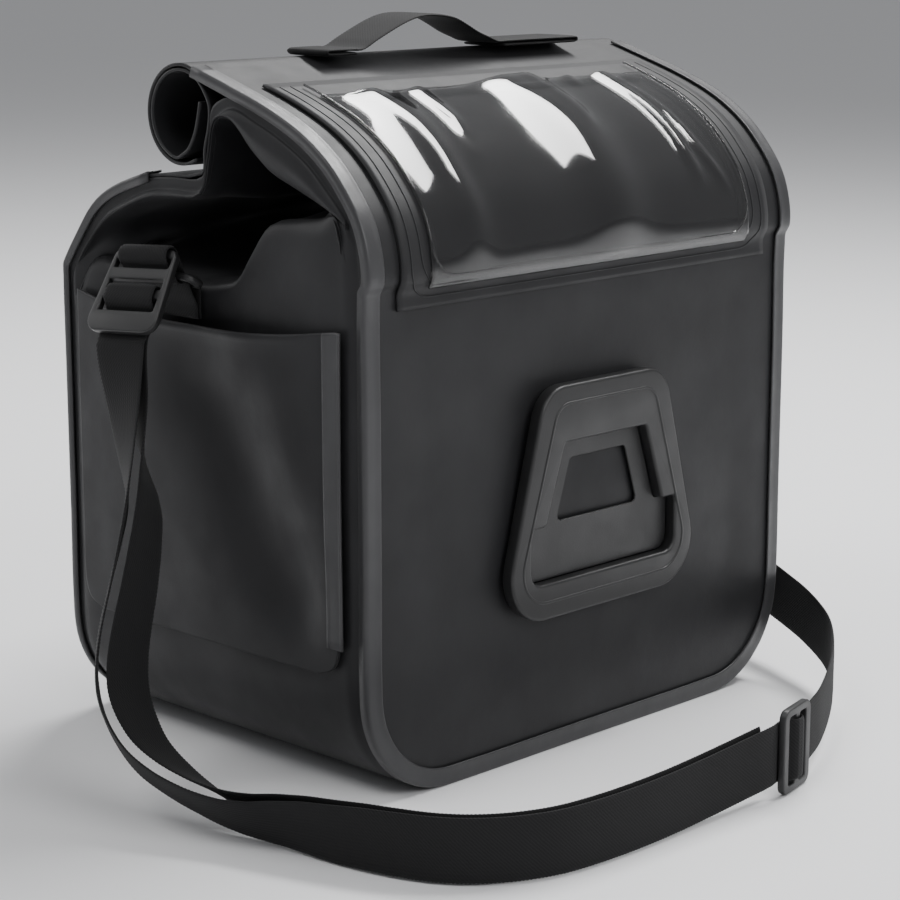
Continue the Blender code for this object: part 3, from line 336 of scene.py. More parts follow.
FILM_FINISH = clear_film()
print("finish", FILM_FINISH.name)

# %% [markdown]
# ## Plates and bars
# Moulded pieces are flat plates with soft edges, or round bars. A 2D curve with holes gives a plate with
# true round corners, and a curve with a bevel depth gives a bar. Both are turned into meshes at once.

# %% Flat plates with soft edges
PLATE_ROUNDS = 4
SHARP_TURN = math.radians(50)
CAP_WELD = 0.00002


def plate(name, outlines, thickness, rounding, matrix, finish):
    """Flat plate from closed outlines, the first outside and the rest holes, with rounded edges."""
    curve = bpy.data.curves.new(name, "CURVE")
    curve.dimensions = "2D"
    curve.fill_mode = "BOTH"
    curve.extrude = thickness / 2 - rounding
    curve.bevel_depth = rounding
    curve.bevel_resolution = PLATE_ROUNDS
    curve.offset = -rounding
    for outline in outlines:
        spline = curve.splines.new("POLY")
        spline.points.add(len(outline) - 1)
        for point, spot in zip(spline.points, outline):
            point.co = (spot[0], spot[1], 0.0, 1.0)
        spline.use_cyclic_u = True
    return as_mesh(name, curve, matrix, finish)


def as_mesh(name, curve, matrix, finish):
    """Mesh object from a curve, with its caps joined to its sides."""
    guide = bpy.data.objects.new(name + "_guide", curve)
    bpy.context.scene.collection.objects.link(guide)
    guide.matrix_world = matrix
    bpy.context.view_layer.update()
    graph = bpy.context.evaluated_depsgraph_get()
    mesh = bpy.data.meshes.new_from_object(guide.evaluated_get(graph))
    mesh.transform(matrix)
    bpy.data.objects.remove(guide)
    mesh.name = name
    mesh.materials.clear()
    mesh.materials.append(finish)
    mesh.shade_smooth()
    mesh.set_sharp_from_angle(angle=SHARP_TURN)
    thing = bpy.data.objects.new(name, mesh)
    bpy.context.scene.collection.objects.link(thing)
    weld = thing.modifiers.new("join_caps", "WELD")
    weld.merge_threshold = CAP_WELD
    return thing


def wire(name, points, radius, finish, closed=True, sides=3):
    """Round bar along points."""
    curve = bpy.data.curves.new(name, "CURVE")
    curve.dimensions = "3D"
    curve.bevel_depth = radius
    curve.bevel_resolution = sides
    curve.use_fill_caps = not closed
    spline = curve.splines.new("POLY")
    spline.points.add(len(points) - 1)
    for point, spot in zip(spline.points, points):
        point.co = (*spot, 1.0)
    spline.use_cyclic_u = closed
    return as_mesh(name, curve, Matrix.Identity(4), finish)


print("plates have", PLATE_ROUNDS, "steps on each soft edge")

# %% [markdown]
# ## Making cloth
# A wall of the real bag is a flat sheet that was bent, folded and welded. A box could be sculpted, but a
# sheet keeps its even thickness if it is made as one: rows of points say where it runs, a smooth curve
# through them gives a fine open grid, small dents are pressed into that grid, and Solidify gives it its
# thickness inward. Chord lengths steer the curve, so close and wide points mix without overshoot.

# %% Smooth grids
TINY = 1e-7


def as_grid(rows):
    """Rows of points as one array."""
    return np.array([[tuple(point) for point in row] for row in rows])


def spline_down(grid, steps):
    """Finer rows on smooth curves down each column of a grid."""
    span = np.diff(grid, axis=0)
    step = np.linalg.norm(span, axis=2, keepdims=True) + TINY
    slope = span / step
    lean = np.empty_like(grid)
    lean[0], lean[-1] = slope[0], slope[-1]
    lean[1:-1] = (grid[2:] - grid[:-2]) / (step[:-1] + step[1:])
    rows = []
    for i in range(len(grid) - 1):
        for s in np.arange(steps) / steps:
            rows.append(grid[i] * (2 * s ** 3 - 3 * s ** 2 + 1)
                        + lean[i] * step[i] * (s ** 3 - 2 * s ** 2 + s)
                        + grid[i + 1] * (3 * s ** 2 - 2 * s ** 3)
                        + lean[i + 1] * step[i] * (s ** 3 - s ** 2))
    rows.append(grid[-1])
    return np.array(rows)


def finer(rows, down, across):
    """Fine grid on a smooth surface through rows of points."""
    grid = spline_down(as_grid(rows), down)
    return spline_down(grid.transpose(1, 0, 2), across).transpose(1, 0, 2)


def facing(grid, flip):
    """Outward normal at each point of a grid."""
    normal = np.cross(np.gradient(grid, axis=0), np.gradient(grid, axis=1))
    normal /= np.linalg.norm(normal, axis=2, keepdims=True) + TINY
    return -normal if flip else normal


def rumple(grid, size, seed):
    """Smooth noise from -1 to 1 at each point, with lumps of a size in metres."""
    flat = grid.reshape(-1, 3) / size + seed
    return np.array([noise.noise(Vector(point)) for point in flat]).reshape(grid.shape[:2])


def fade(value, low, high):
    """0 below low, 1 above high and smooth between them."""
    share = np.clip((value - low) / (high - low), 0.0, 1.0)
    return share * share * (3 - 2 * share)


print("halfway between two rows a smooth value is", fade(0.5, 0.0, 1.0))

# %% Pieces from grids
def dress(thing, slot_name, *nodes):
    """Let a piece ride on the bag and stand for its plain solids."""
    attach(thing, "root")
    if nodes:
        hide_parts(*nodes)
    return thing


def place_mesh(name, points, faces, finish):
    """Smooth-shaded mesh object with one finish."""
    mesh = bpy.data.meshes.new(name)
    mesh.from_pydata(points.reshape(-1, 3).tolist(), [], faces)
    mesh.validate()
    mesh.shade_smooth()
    mesh.materials.append(finish)
    thing = bpy.data.objects.new(name, mesh)
    bpy.context.scene.collection.objects.link(thing)
    return thing


def cloth(name, grid, thickness, finish, flip=False, even=True, skip=None):
    """Sheet of even thickness that grows inward from a grid."""
    rows, columns = grid.shape[:2]
    faces = []
    for i in range(rows - 1):
        for j in range(columns - 1):
            if skip and skip(i, j):
                continue
            a, b = i * columns + j, (i + 1) * columns + j
            face = (a, b, b + 1, a + 1)
            faces.append(face[::-1] if flip else face)
    grid = np.concatenate([grid[:, :, :2], np.maximum(grid[:, :, 2:], 0.0)], axis=2)
    used = sorted({index for face in faces for index in face})
    new = {old: index for index, old in enumerate(used)}
    points = grid.reshape(-1, 3)[used]
    thing = place_mesh(name, points, [tuple(new[index] for index in face) for face in faces], finish)
    shell = thing.modifiers.new("thickness", "SOLIDIFY")
    shell.thickness = thickness
    shell.offset = -1.0
    shell.use_even_offset = even
    print(name, len(faces), "faces")
    return thing


# %% [markdown]
# ## The bag's own measures
# The forms below are the same curves that the plain solids follow, so each fine piece lies where its
# solid lies: the body's sizes first, then the slopes and the roll as paths in the YZ plane.

# %% Sizes of the body
WIDTH = 0.256
DEPTH = 0.180
SHOULDER = 0.200
ROLL_TOP = 0.281
CORNER_RADIUS = 0.045
CORNER_SPANS = 5
SHEET = 0.0012
TAPE = 0.0010
GAP = 0.0003
ROLL_RADIUS = 0.020
ROLL_BACK = 0.0140
LAYER_GAP = 0.0008
FOLD_DEPTH = 0.088
BAND_WIDTH = 0.020
BAND_BELLY = 0.0012
LIP_ROLL = 0.007
LIP_TURN = 0.003
FIRM_DEPTH = 0.010
STEEP = 0.8
HANG = 0.25
FLAT_STEP = 0.006
PANEL_BULGE = 0.0030
SIDE_BULGE = 0.0030
TAPE_FACE = 0.008
TAPE_SIDE = 0.003
TAPE_RECESS = 0.0045
TAPE_END = 0.0055
TAPE_ROUND = 0.0012
POCKET_FLOOR = 0.051
POCKET_HEM = 0.186
POCKET_FRONT = 0.078
POCKET_REAR = 0.078
POCKET_CORNER = 0.012
POCKET_MOUTH = 0.0075
POCKET_EASE = 0.0013
HEM_SAG = 0.006
POCKET_TAPE_LAP = 0.0035
HEM_BEAD = 0.0006
POCKET_SHARES = (0.0, 0.03, 0.09, 0.25, 0.44, 0.62, 0.80, 0.965, 1.0)
POCKET_COLUMNS = (-1.0, -0.93, -0.65, -0.33, 0.0, 0.33, 0.65, 0.93, 1.0)
MAP_WIDTH = 0.222
MAP_FOOT = 0.193
MAP_RIM = 0.019
FILM = 0.0010
FILM_LAP = 0.004
FILM_RISE = 0.0012

# Front slope from the shoulder to the roll: shares of the way back and of the way up
FRONT_SLOPE = (
    # back, up
    (-0.022, 0.06),
    (-0.014, 0.19),
    (0.022, 0.33),
    (0.085, 0.45),
    (0.190, 0.59),
    (0.330, 0.71),
    (0.510, 0.81),
    (0.700, 0.89),
)

# Rear slope from the shoulder to the fold under the roll: shares of the way forward and up
REAR_SLOPE = (
    # forward, up
    (0.010, 0.05),
    (0.090, 0.26),
    (0.230, 0.58),
    (0.380, 0.76),
    (0.640, 0.93),
)

# Inner layer of the roll, in roll radii from the roll's centre
ROLL_RISER = (
    # back, up
    (-0.680, -0.62),
    (-0.815, -0.15),
    (-0.835, 0.20),
)

ROLL_TONGUE = (
    # back, up
    (-0.180, -0.66),
    (-0.420, -0.26),
    (-0.560, 0.28),
)

# Folded end: a row for each upright section, from the front to the rear.
# back is a share of half the depth, crest a share of the closing line, lip and throat are
# shares of the shoulder height, band and depth shares of BAND_WIDTH and FOLD_DEPTH.
FOLD_ROWS = (
    # back, crest, lip, throat, band, depth
    (-0.845, 0.092, 1.138, 1.142, 0.36, 0.02),
    (-0.722, 0.133, 1.130, 1.144, 0.66, 0.18),
    (-0.556, 0.203, 1.120, 1.150, 0.90, 0.43),
    (-0.389, 0.281, 1.107, 1.155, 1.00, 0.68),
    (-0.267, 0.338, 1.050, 1.160, 0.85, 0.84),
    (-0.155, 0.393, 0.992, 1.160, 0.52, 0.95),
    (-0.050, 0.455, 0.978, 1.150, 0.30, 1.00),
    (0.035, 0.508, 0.974, 1.130, 0.30, 1.00),
    (0.110, 0.577, 0.976, 1.110, 0.38, 0.97),
    (0.222, 0.652, 0.978, 1.100, 0.42, 0.92),
    (0.345, 0.706, 0.982, 1.090, 0.42, 0.82),
    (0.511, 0.772, 0.987, 1.075, 0.42, 0.66),
    (0.667, 0.843, 0.991, 1.050, 0.42, 0.43),
    (0.800, 0.920, 0.992, 1.012, 0.38, 0.14),
)

# Long dent across each side: where it starts and ends, as shares of half the depth and the shoulder
DENT_TOP = (0.02, 0.88)
DENT_FOOT = (-0.62, 0.34)
DENT_DEPTH = 0.0045
DENT_WIDTH = 0.026
SIDE_RAMP = 0.034

# Heights of the gusset's wall points, as shares of the way from the bottom corner to the lip
WALL_SHARES = (0.22, 0.44, 0.66, 0.85)
print("body", WIDTH, "by", DEPTH, "by", ROLL_TOP)

# %% Sizes of the webbing and its hardware
WEBBING = 0.025
WEB_THICK = 0.0014
HANDLE_BACK = 0.008
HANDLE_LEFT = 0.064
HANDLE_RIGHT = 0.087
HANDLE_ARCH = 0.0124
HANDLE_LEVEL = 0.006
HANDLE_UNDER = 0.004
HANDLE_ARCH_LEFT = 0.044
HANDLE_ARCH_RIGHT = 0.036
BUCKLE_THICK = 0.0032
BUCKLE_LENGTH = 0.036
BUCKLE_TOP = 0.031
BUCKLE_FOOT = 0.036
BAR = 0.004
SLOT = 0.0042
FLAT_BAR = 0.0050
STRAP_SLOT = 0.0055
BUCKLE_OUT = 0.0170
BUCKLE_BACK = 0.013
BUCKLE_LEAN = (-0.56, -0.14, -0.82)
BUCKLE_TURN = 8.0
BUCKLE_ROUND_TOP = 0.0035
BUCKLE_ROUND_FOOT = 0.006
BUCKLE_SOFT = 0.0007
SLOT_ROUND = 0.0008
LOOP_RUN = 0.004
RING_WIRE = 0.0034
RING_WIDTH = 0.032
RING_CORNER = 0.0028
RING_ABOVE = 0.0100
RING_HIGH = POCKET_HEM + RING_ABOVE
BUCKLE_RISE = 0.0115
BUCKLE_HIGH = RING_HIGH + BUCKLE_RISE
RING_DROP = 0.0045
RING_BEHIND = 0.0085
TAB_DROP = 0.0140
TAB_PULL = 0.018
TAB_JOIN = 0.0090
TAB_NECK = 0.0035
SLIDER_SIDE = 0.008
SLIDER_FRONT = 0.1015
SLIDER_TURN = 12.5
SLIDER_HEIGHT = 0.0345
SLIDER_LENGTH = 0.024
SLIDER_THICK = 0.0030
SLIDER_SLOT = 0.0060
SLIDER_BAR = 0.0035
SLIDER_ROUND = 0.004
SLIDER_SLOT_ROUND = 0.001
SLIDER_SOFT = 0.0006
WEAVE_RUN = 0.004
WEAVE_EASE = 0.0026
WEAVE_TIGHT = 0.0022
WEAVE_DIP = 0.0002
SLOT_SLACK = 0.0009
LAYER_SLACK = 0.0018
STRAP_FLOOR = 0.0005
print("webbing", WEBBING, "wide; buckle bars at", round(BUCKLE_HIGH, 4))


# %% Curves and paths
def smooth(points, steps):
    """Points along a Catmull-Rom curve, with steps spans between each two given points."""
    ends = [points[0] * 2 - points[1]] + list(points) + [points[-1] * 2 - points[-2]]
    result = []
    for a, b, c, d in zip(ends, ends[1:], ends[2:], ends[3:]):
        for step in range(steps):
            t = step / steps
            result.append(
                (b * 2 + (c - a) * t + (a * 2 - b * 5 + c * 4 - d) * t ** 2
                 + (b * 3 - a - c * 3 + d) * t ** 3) / 2)
    result.append(points[-1].copy())
    return result


def arc(centre, radius, start, stop, spans):
    """Points on an arc, in degrees, both ends included."""
    angles = [math.radians(start + (stop - start) * i / spans) for i in range(spans + 1)]
    return [centre + Vector((math.cos(a), math.sin(a))) * radius for a in angles]


def lengths_along(points):
    """Distance from the first point to each point of a polyline."""
    total = [0.0]
    for a, b in zip(points, points[1:]):
        total.append(total[-1] + (b - a).length)
    return total


def point_along(points, share):
    """Point at a share of a polyline's length, and the direction there."""
    marks = lengths_along(points)
    goal = share * marks[-1]
    for index in range(len(points) - 1):
        if goal <= marks[index + 1] or index == len(points) - 2:
            span = points[index + 1] - points[index]
            part = (goal - marks[index]) / (marks[index + 1] - marks[index])
            return points[index] + span * part, span.normalized()
    raise ValueError("a polyline has two points or more")


def normals_of(path, side):
    """Unit normals of a path in the YZ plane; side is 1 for its left hand and -1 for its right."""
    result = []
    last = len(path) - 1
    for i in range(len(path)):
        along = (path[min(i + 1, last)] - path[max(i - 1, 0)]).normalized()
        result.append(Vector((-along.y, along.x)) * side)
    return result


def rounded_outline(corners, radii, steps):
    """Outline through corners, each rounded by its own radius."""
    result = []
    count = len(corners)
    for i in range(count):
        corner = Vector(corners[i])
        before = (Vector(corners[i - 1]) - corner).normalized()
        after = (Vector(corners[(i + 1) % count]) - corner).normalized()
        half = before.angle(after) / 2
        reach = radii[i] / math.tan(half)
        middle = corner + (before + after).normalized() * (radii[i] / math.sin(half))
        start = corner + before * reach - middle
        turn = (corner + after * reach - middle).angle_signed(start)
        for step in range(steps + 1):
            spin = Matrix.Rotation(turn * step / steps, 2)
            result.append(middle + spin @ start)
    return result


# %% Slopes and roll
# Turns of the two layers round the roll, in degrees from the back, and the spans of each arc
ROLL_FROM, ROLL_TO, ROLL_SPANS = 116, -118, 13
INNER_FROM, INNER_TO, INNER_SPANS = 150, -80, 11
REAR_DROP = 0.03
FOLD_BACK = -0.60
CLOSING_START = 1.06


def body_half_width(height, inset):
    """Half the bag's width at a height, with its rounded bottom corners, inset from the outside."""
    if height >= CORNER_RADIUS:
        return WIDTH / 2 - inset
    radius = CORNER_RADIUS - inset
    drop = max(-radius, height - CORNER_RADIUS)
    return WIDTH / 2 - CORNER_RADIUS + math.sqrt(max(0.0, radius ** 2 - drop ** 2))


def roll_centre():
    """Centre of the roll in (y, z)."""
    return Vector((ROLL_BACK, ROLL_TOP - ROLL_RADIUS))


def front_slope_path():
    """Outside of the front sheet from the shoulder to its end under the roll, as (y, z)."""
    centre = roll_centre()
    start = Vector((-DEPTH / 2, SHOULDER))
    run = centre.x - start.x
    rise = ROLL_TOP - SHOULDER
    slope = [start] + [start + Vector((back * run, up * rise)) for back, up in FRONT_SLOPE]
    roll = arc(centre, ROLL_RADIUS, ROLL_FROM, ROLL_TO, ROLL_SPANS)
    return smooth(slope + [roll[0]], 1)[:-1] + roll


def rear_slope_path():
    """Outside of the rear sheet from the shoulder into the roll, as (y, z)."""
    centre = roll_centre()
    inner = ROLL_RADIUS - 2 * SHEET - LAYER_GAP
    start = Vector((DEPTH / 2, SHOULDER - REAR_DROP * SHOULDER))
    fold = centre + Vector((FOLD_BACK * ROLL_RADIUS, -ROLL_RADIUS - 2 * LAYER_GAP))
    slope = [start]
    for forward, up in REAR_SLOPE:
        slope.append(start + Vector((forward * (fold.x - start.x), up * (fold.y - start.y))))
    riser = [centre + Vector(row) * ROLL_RADIUS for row in ROLL_RISER]
    turns = arc(centre, inner, INNER_FROM, INNER_TO, INNER_SPANS)
    tongue = [centre + Vector(row) * ROLL_RADIUS for row in ROLL_TONGUE]
    return slope + [fold] + riser + turns + smooth([turns[-1]] + tongue, 2)[1:]


def offset_path(path, side, distance):
    """Path moved sideways by a distance."""
    return [point + normal * distance for point, normal in zip(path, normals_of(path, side))]


def closing_line():
    """Line on which the folded ends meet the sheets: under the front, down the riser, under the rear."""
    clear = SHEET + GAP
    front = offset_path(front_slope_path(), -1, clear)
    rear = rear_slope_path()
    fold = len(REAR_SLOPE) + 1
    riser = [point - Vector((2 * clear, 0.0)) for point in rear[fold + 1:fold + 4]]
    start = Vector((-DEPTH / 2 + clear, SHOULDER * CLOSING_START))
    under_front = [point for point in front[2:] if start.x + GAP < point.x < riser[-1].x - clear]
    under_rear = offset_path(rear, 1, clear)[1:fold]
    turn = rear[fold] - Vector((2 * clear, clear))
    end = Vector((DEPTH / 2 - clear, under_rear[0].y - clear))
    return [start] + under_front + riser[::-1] + [turn] + under_rear[::-1] + [end]


def share_at(line, back):
    """Share of a line's length where it first reaches a place toward the back."""
    marks = lengths_along(line)
    for index in range(1, len(line)):
        if line[index].x >= back:
            span = line[index].x - line[index - 1].x
            part = (back - line[index - 1].x) / span if span > GAP / 10 else 0.0
            return (marks[index - 1] + (marks[index] - marks[index - 1]) * max(0.0, part)) / marks[-1]
    return 1.0


print("front path", round(lengths_along(front_slope_path())[-1], 3), "m")

# %% [markdown]
# ## Gusset
# One strip runs round the base and both sides, and its upper ends are pushed inward under the roll like
# the ends of a parcel. That deep fold is what gives the bag its face from the side. A cloth simulation
# would fold it somewhere, but not where this bag has its lip, its band and its shadow, so a table of
# upright sections steers it, and small rumples are pressed in where the cloth is slack.

# %% Sections of the gusset
# Shares that place the folded end's points: how far in and how far up each lies
SLOPE_IN_STEPS = ((0.30, 0.10), (0.70, 0.48))
SLOPE_OUT_STEPS = ((0.66, 0.50), (0.24, 0.86))
LIP_STAND = 0.6
BELLY_PLACE = 0.45
INNER_PULL = 0.20
RECESS_REACH, RECESS_RISE, RECESS_SHARE = 0.8, 0.35, 0.45


def side_form(back, height):
    """How far a side stands out of its flat plane: a soft bulge less the long dent."""
    share = min(1.0, abs(back) / (DEPTH / 2 - 2 * TAPE_SIDE))
    rise = max(0.0, min(1.0, (height - CORNER_RADIUS / 2) / (SHOULDER - CORNER_RADIUS / 2)))
    bulge = SIDE_BULGE * (1 - share ** 2) * math.sin(math.pi * rise)
    top = Vector((DENT_TOP[0] * DEPTH / 2, DENT_TOP[1] * SHOULDER))
    foot = Vector((DENT_FOOT[0] * DEPTH / 2, DENT_FOOT[1] * SHOULDER))
    line = foot - top
    offset = Vector((back, height)) - top
    along = max(0.0, min(1.0, offset.dot(line) / line.length_squared))
    away = (offset - line * along).length
    dent = DENT_DEPTH * (1 - share ** 4) * math.exp(-(away / DENT_WIDTH) ** 2)
    return (bulge - dent) * max(0.0, min(1.0, (height - CORNER_RADIUS) / SIDE_RAMP))


def wall_recess(back, height):
    """How far the wall behind a pocket's mouth is pushed in, which holds the pocket open."""
    across = max(0.0, 1 - (back / (POCKET_FRONT * RECESS_REACH)) ** 2)
    rise = math.exp(-((height - POCKET_HEM) / (RECESS_RISE * POCKET_HEM)) ** 2)
    return POCKET_MOUTH * RECESS_SHARE * across * rise


def wall_stand(back, height):
    """How far the gusset's wall stands out; the ring's tab pulls it back to its flat plane."""
    away = Vector((back - BUCKLE_BACK, height - (RING_HIGH - TAB_DROP / 2)))
    pull = math.exp(-away.length_squared / TAB_PULL ** 2)
    return (side_form(back, height) - wall_recess(back, height)) * (1 - pull)


def gusset_half(back, crest, crest_in, fold, inset, spread):
    """One side of the gusset's section: base, rounded corner, wall and folded end."""
    lip, throat, band, depth = fold
    half = WIDTH / 2
    points = [Vector((0.0, back, inset))]
    middle = Vector((half - CORNER_RADIUS, CORNER_RADIUS))
    for place in arc(middle, CORNER_RADIUS - inset, -90, 0, CORNER_SPANS):
        points.append(Vector((place.x, back, place.y)))
    foot = CORNER_RADIUS
    for share in WALL_SHARES:
        height = foot + (lip - foot) * share
        stand = 0.0 if inset else wall_stand(back, height)
        points.append(Vector((half - inset + stand, back, height)))
    edge = half - inset
    stand = 0.0 if inset else wall_stand(back, lip - LIP_ROLL)
    firm = min(1.0, depth / FIRM_DEPTH)
    inner_back = back * (1 - INNER_PULL * firm)
    band_foot = crest + crest_in * band
    turned = edge - LIP_TURN * firm
    points.append(Vector((edge + stand, back, lip - LIP_ROLL)))
    points.append(Vector((turned + stand * LIP_STAND, back, lip)))
    for reach, rise in SLOPE_IN_STEPS:
        points.append(Vector((turned - depth * reach,
                              back + (inner_back - back) * reach, lip + (throat - lip) * rise)))
    points.append(Vector((turned - depth, inner_back, throat)))
    for reach, rise in SLOPE_OUT_STEPS:
        points.append(Vector((turned - depth * reach,
                              band_foot.x + (inner_back - band_foot.x) * reach,
                              throat + (band_foot.y - throat) * rise)))
    points.append(Vector((turned, band_foot.x, band_foot.y)))
    under, tape_end = TAPE_RECESS * spread, TAPE_END * spread
    belly = crest + crest_in * (tape_end + (band - tape_end) * BELLY_PLACE)
    points.append(Vector((edge + BAND_BELLY * firm, belly.x, belly.y)))
    for distance, step in ((tape_end, inset), (under, TAPE + GAP), (0.0, TAPE + GAP)):
        place = crest + crest_in * distance
        points.append(Vector((half - step, place.x, place.y)))
    return points


def gusset_rows():
    """Sections of the gusset from the front to the rear, each from one closing edge to the other."""
    line = closing_line()
    half = DEPTH / 2
    inset = TAPE + GAP
    ends = (half - SHEET - GAP, half - TAPE_RECESS, half - TAPE_SIDE - TAPE_END)
    sections = []
    for place, step in zip(ends, (inset, inset, 0.0)):
        sections.append((-place, share_at(line, -place), step, None))
    for back, crest, lip, throat, band, depth in FOLD_ROWS:
        fold = (lip * SHOULDER, throat * SHOULDER, band * BAND_WIDTH, depth * FOLD_DEPTH)
        sections.append((back * half, crest, 0.0, fold))
    for place, step in zip(ends[::-1], (0.0, inset, inset)):
        sections.append((place, share_at(line, place), step, None))
    rows = []
    for back, share, step, fold in sections:
        crest, along = point_along(line, share)
        crest_in = Vector((along.y, -along.x))
        spread = 1.0
        if abs(along.y) > STEEP:
            crest_in = Vector((math.copysign(HANG, along.y), -1.0)).normalized()
        if fold is None:
            spread = 1.0 / max(HANG, abs(along.x))
            crest_in = Vector((0.0, -1.0))
            band = TAPE_END * spread + 2 * GAP
            foot = crest.y - band
            fold = (foot - 2 * FLAT_STEP, foot - FLAT_STEP, band, 0.0)
        right = gusset_half(back, crest, crest_in, fold, step, spread)
        left = [Vector((-point.x, point.y, point.z)) for point in right]
        rows.append(right[:0:-1] + left)
    return rows


# %% Deeper dent
DEEP_DENT = 0.0032
DEEP_WIDTH = 0.019
# Where the dent fades in: from the front and rear edges, over the pocket's floor, and below its top
DENT_EDGE = (0.016, 0.036)
DENT_RISE = 0.03
DENT_END = (0.150, 0.182)


def deepen(grid):
    """How far each point of a side is pushed in along the long dent, over what its form holds already."""
    top = np.array((DENT_TOP[0] * DEPTH / 2, DENT_TOP[1] * SHOULDER))
    foot = np.array((DENT_FOOT[0] * DEPTH / 2, DENT_FOOT[1] * SHOULDER))
    offset = grid[:, :, 1:] - top
    line = foot - top
    share = np.clip((offset @ line) / (line @ line), 0.0, 1.0)
    away = np.linalg.norm(offset - share[:, :, None] * line, axis=2)
    height = grid[:, :, 2]
    edge = fade(DEPTH / 2 - np.abs(grid[:, :, 1]), *DENT_EDGE)
    edge = edge * fade(height, POCKET_FLOOR, POCKET_FLOOR + DENT_RISE)
    low = 1 - fade(height, *DENT_END)
    return DEEP_DENT * np.exp(-(away / DEEP_WIDTH) ** 2) * edge * low


print("long dent", DEEP_DENT, "deep over the wall's own", DENT_DEPTH)


# %% Gusset
GUSSET_DOWN, GUSSET_ACROSS = 4, 4
SLACK_DENT, SLACK_SIZE, SLACK_SEED, SLACK_BIAS = 0.0026, 0.022, 3.0, 0.4
WALL_DENT, WALL_SIZE, WALL_SEED, WALL_BIAS = 0.0007, 0.035, 8.0, 0.9
# Bands over which the rumples fade in and out, in metres, and FOLD_BAND in shoulder heights
EDGE_BAND = (0.010, 0.030)
FOLD_BAND = (0.94, 1.06)
FOLD_SIDE = (0.004, 0.020)
WALL_START = (0.03, 0.06)
WALL_STOP = (0.16, 0.19)


def gusset_cloth():
    """Fine gusset with slack rumples in its folded ends."""
    grid = finer(gusset_rows(), GUSSET_DOWN, GUSSET_ACROSS)
    out = facing(grid, True)
    side, back, height = np.abs(grid[:, :, 0]), np.abs(grid[:, :, 1]), grid[:, :, 2]
    inner = fade(DEPTH / 2 - back, *EDGE_BAND)
    fold = fade(height, SHOULDER * FOLD_BAND[0], SHOULDER * FOLD_BAND[1])
    fold = fold * fade(WIDTH / 2 - side, *FOLD_SIDE)
    wall = fade(height, *WALL_START) * (1 - fade(height, *WALL_STOP))
    push = SLACK_DENT * fold * (rumple(grid, SLACK_SIZE, SLACK_SEED) - SLACK_BIAS)
    push += WALL_DENT * wall * (rumple(grid, WALL_SIZE, WALL_SEED) - WALL_BIAS) - deepen(grid)
    grid = grid + out * (push * inner)[:, :, None]
    return dress(cloth("gusset_cloth", grid, SHEET, FABRIC, flip=True, even=False), "coated_fabric", "gusset")


gusset_cloth()

# %% [markdown]
# ## Front and rear sheets
# Each is a single cut sheet: panel, slope and its layer of the roll. The panel bulges a little with what
# the bag holds. The two layers of the roll are the same sheets carried round a core that isn't there.

# %% Front and rear sheets
PANEL_DOWN, PANEL_ACROSS = 4, 8
PANEL_DENT, PANEL_SIZE, PANEL_SEED, PANEL_BIAS = 0.0015, 0.055, 5.0, 0.7
# Shares of a panel's half width and of its height above the corner where its points lie
PANEL_COLUMNS = (0.78, 0.40)
PANEL_HEIGHTS = (0.0, 0.25, 0.50, 0.75)
PANEL_SIDE = (0.014, 0.040)
PANEL_START = (0.015, 0.045)
BELOW_MAP = (0.020, 0.006)


def panel_form(side, height):
    """How far a panel bulges out at a place on its face."""
    width = body_half_width(height, 0.0) - TAPE_FACE - 2 * GAP
    foot = TAPE_FACE + 2 * GAP
    if height <= foot or height >= SHOULDER or width <= 0:
        return 0.0
    share = min(1.0, abs(side) / width)
    return PANEL_BULGE * (1 - share ** 2) * math.sin(math.pi * (height - foot) / (SHOULDER - foot))


def panel_rows(path, outward):
    """Rows of a whole sheet: the upright panel, then the path of its slope and roll."""
    inset = TAPE + 2 * GAP
    face = path[0].x
    rows = []
    upright = [CORNER_RADIUS - (CORNER_RADIUS - inset) * math.cos(math.radians(90 * a / CORNER_SPANS))
               for a in range(CORNER_SPANS)]
    upright += [CORNER_RADIUS + (path[0].y - CORNER_RADIUS) * s for s in PANEL_HEIGHTS]
    for height in upright:
        half = body_half_width(height, inset)
        flat = half - TAPE_FACE
        sides = [-half, -flat] + [-flat * s for s in PANEL_COLUMNS] + [0.0]
        sides += [-side for side in sides[-2::-1]]
        rows.append([Vector((side, face + outward * panel_form(side, height), height))
                     for side in sides])
    half = WIDTH / 2 - inset
    flat = half - TAPE_FACE
    sides = [-half, -flat] + [-flat * s for s in PANEL_COLUMNS] + [0.0]
    sides += [-side for side in sides[-2::-1]]
    for point in path:
        rows.append([Vector((side, point.x, point.y)) for side in sides])
    return rows


def panel_cloth(name, path, outward, node):
    """Fine front or rear sheet with shallow dents in its upright panel."""
    grid = finer(panel_rows(path, outward), PANEL_DOWN, PANEL_ACROSS)
    out = facing(grid, outward < 0)
    side, height = np.abs(grid[:, :, 0]), grid[:, :, 2]
    slack = fade(WIDTH / 2 - side, *PANEL_SIDE) * fade(height, *PANEL_START)
    slack *= 1 - fade(height, MAP_FOOT - BELOW_MAP[0], MAP_FOOT - BELOW_MAP[1])
    dent = PANEL_DENT * slack * (rumple(grid, PANEL_SIZE, PANEL_SEED) - PANEL_BIAS)
    grid = grid + out * dent[:, :, None]
    return dress(cloth(name, grid, SHEET, FABRIC, flip=outward < 0), "coated_fabric", node)


panel_cloth("front_cloth", front_slope_path(), -1, "front_sheet")
panel_cloth("rear_cloth", rear_slope_path(), 1, "rear_sheet")

# %% [markdown]
# ## Edge tape
# Each edge between a sheet and the gusset is closed by a tape folded over it and welded. The weld leaves
# a thin bright ridge where the tape ends, so the tape's own grid gets a small bead along its face edge.

# %% Edge tape
TAPE_DOWN = 4
TAPE_BEAD = 0.00022
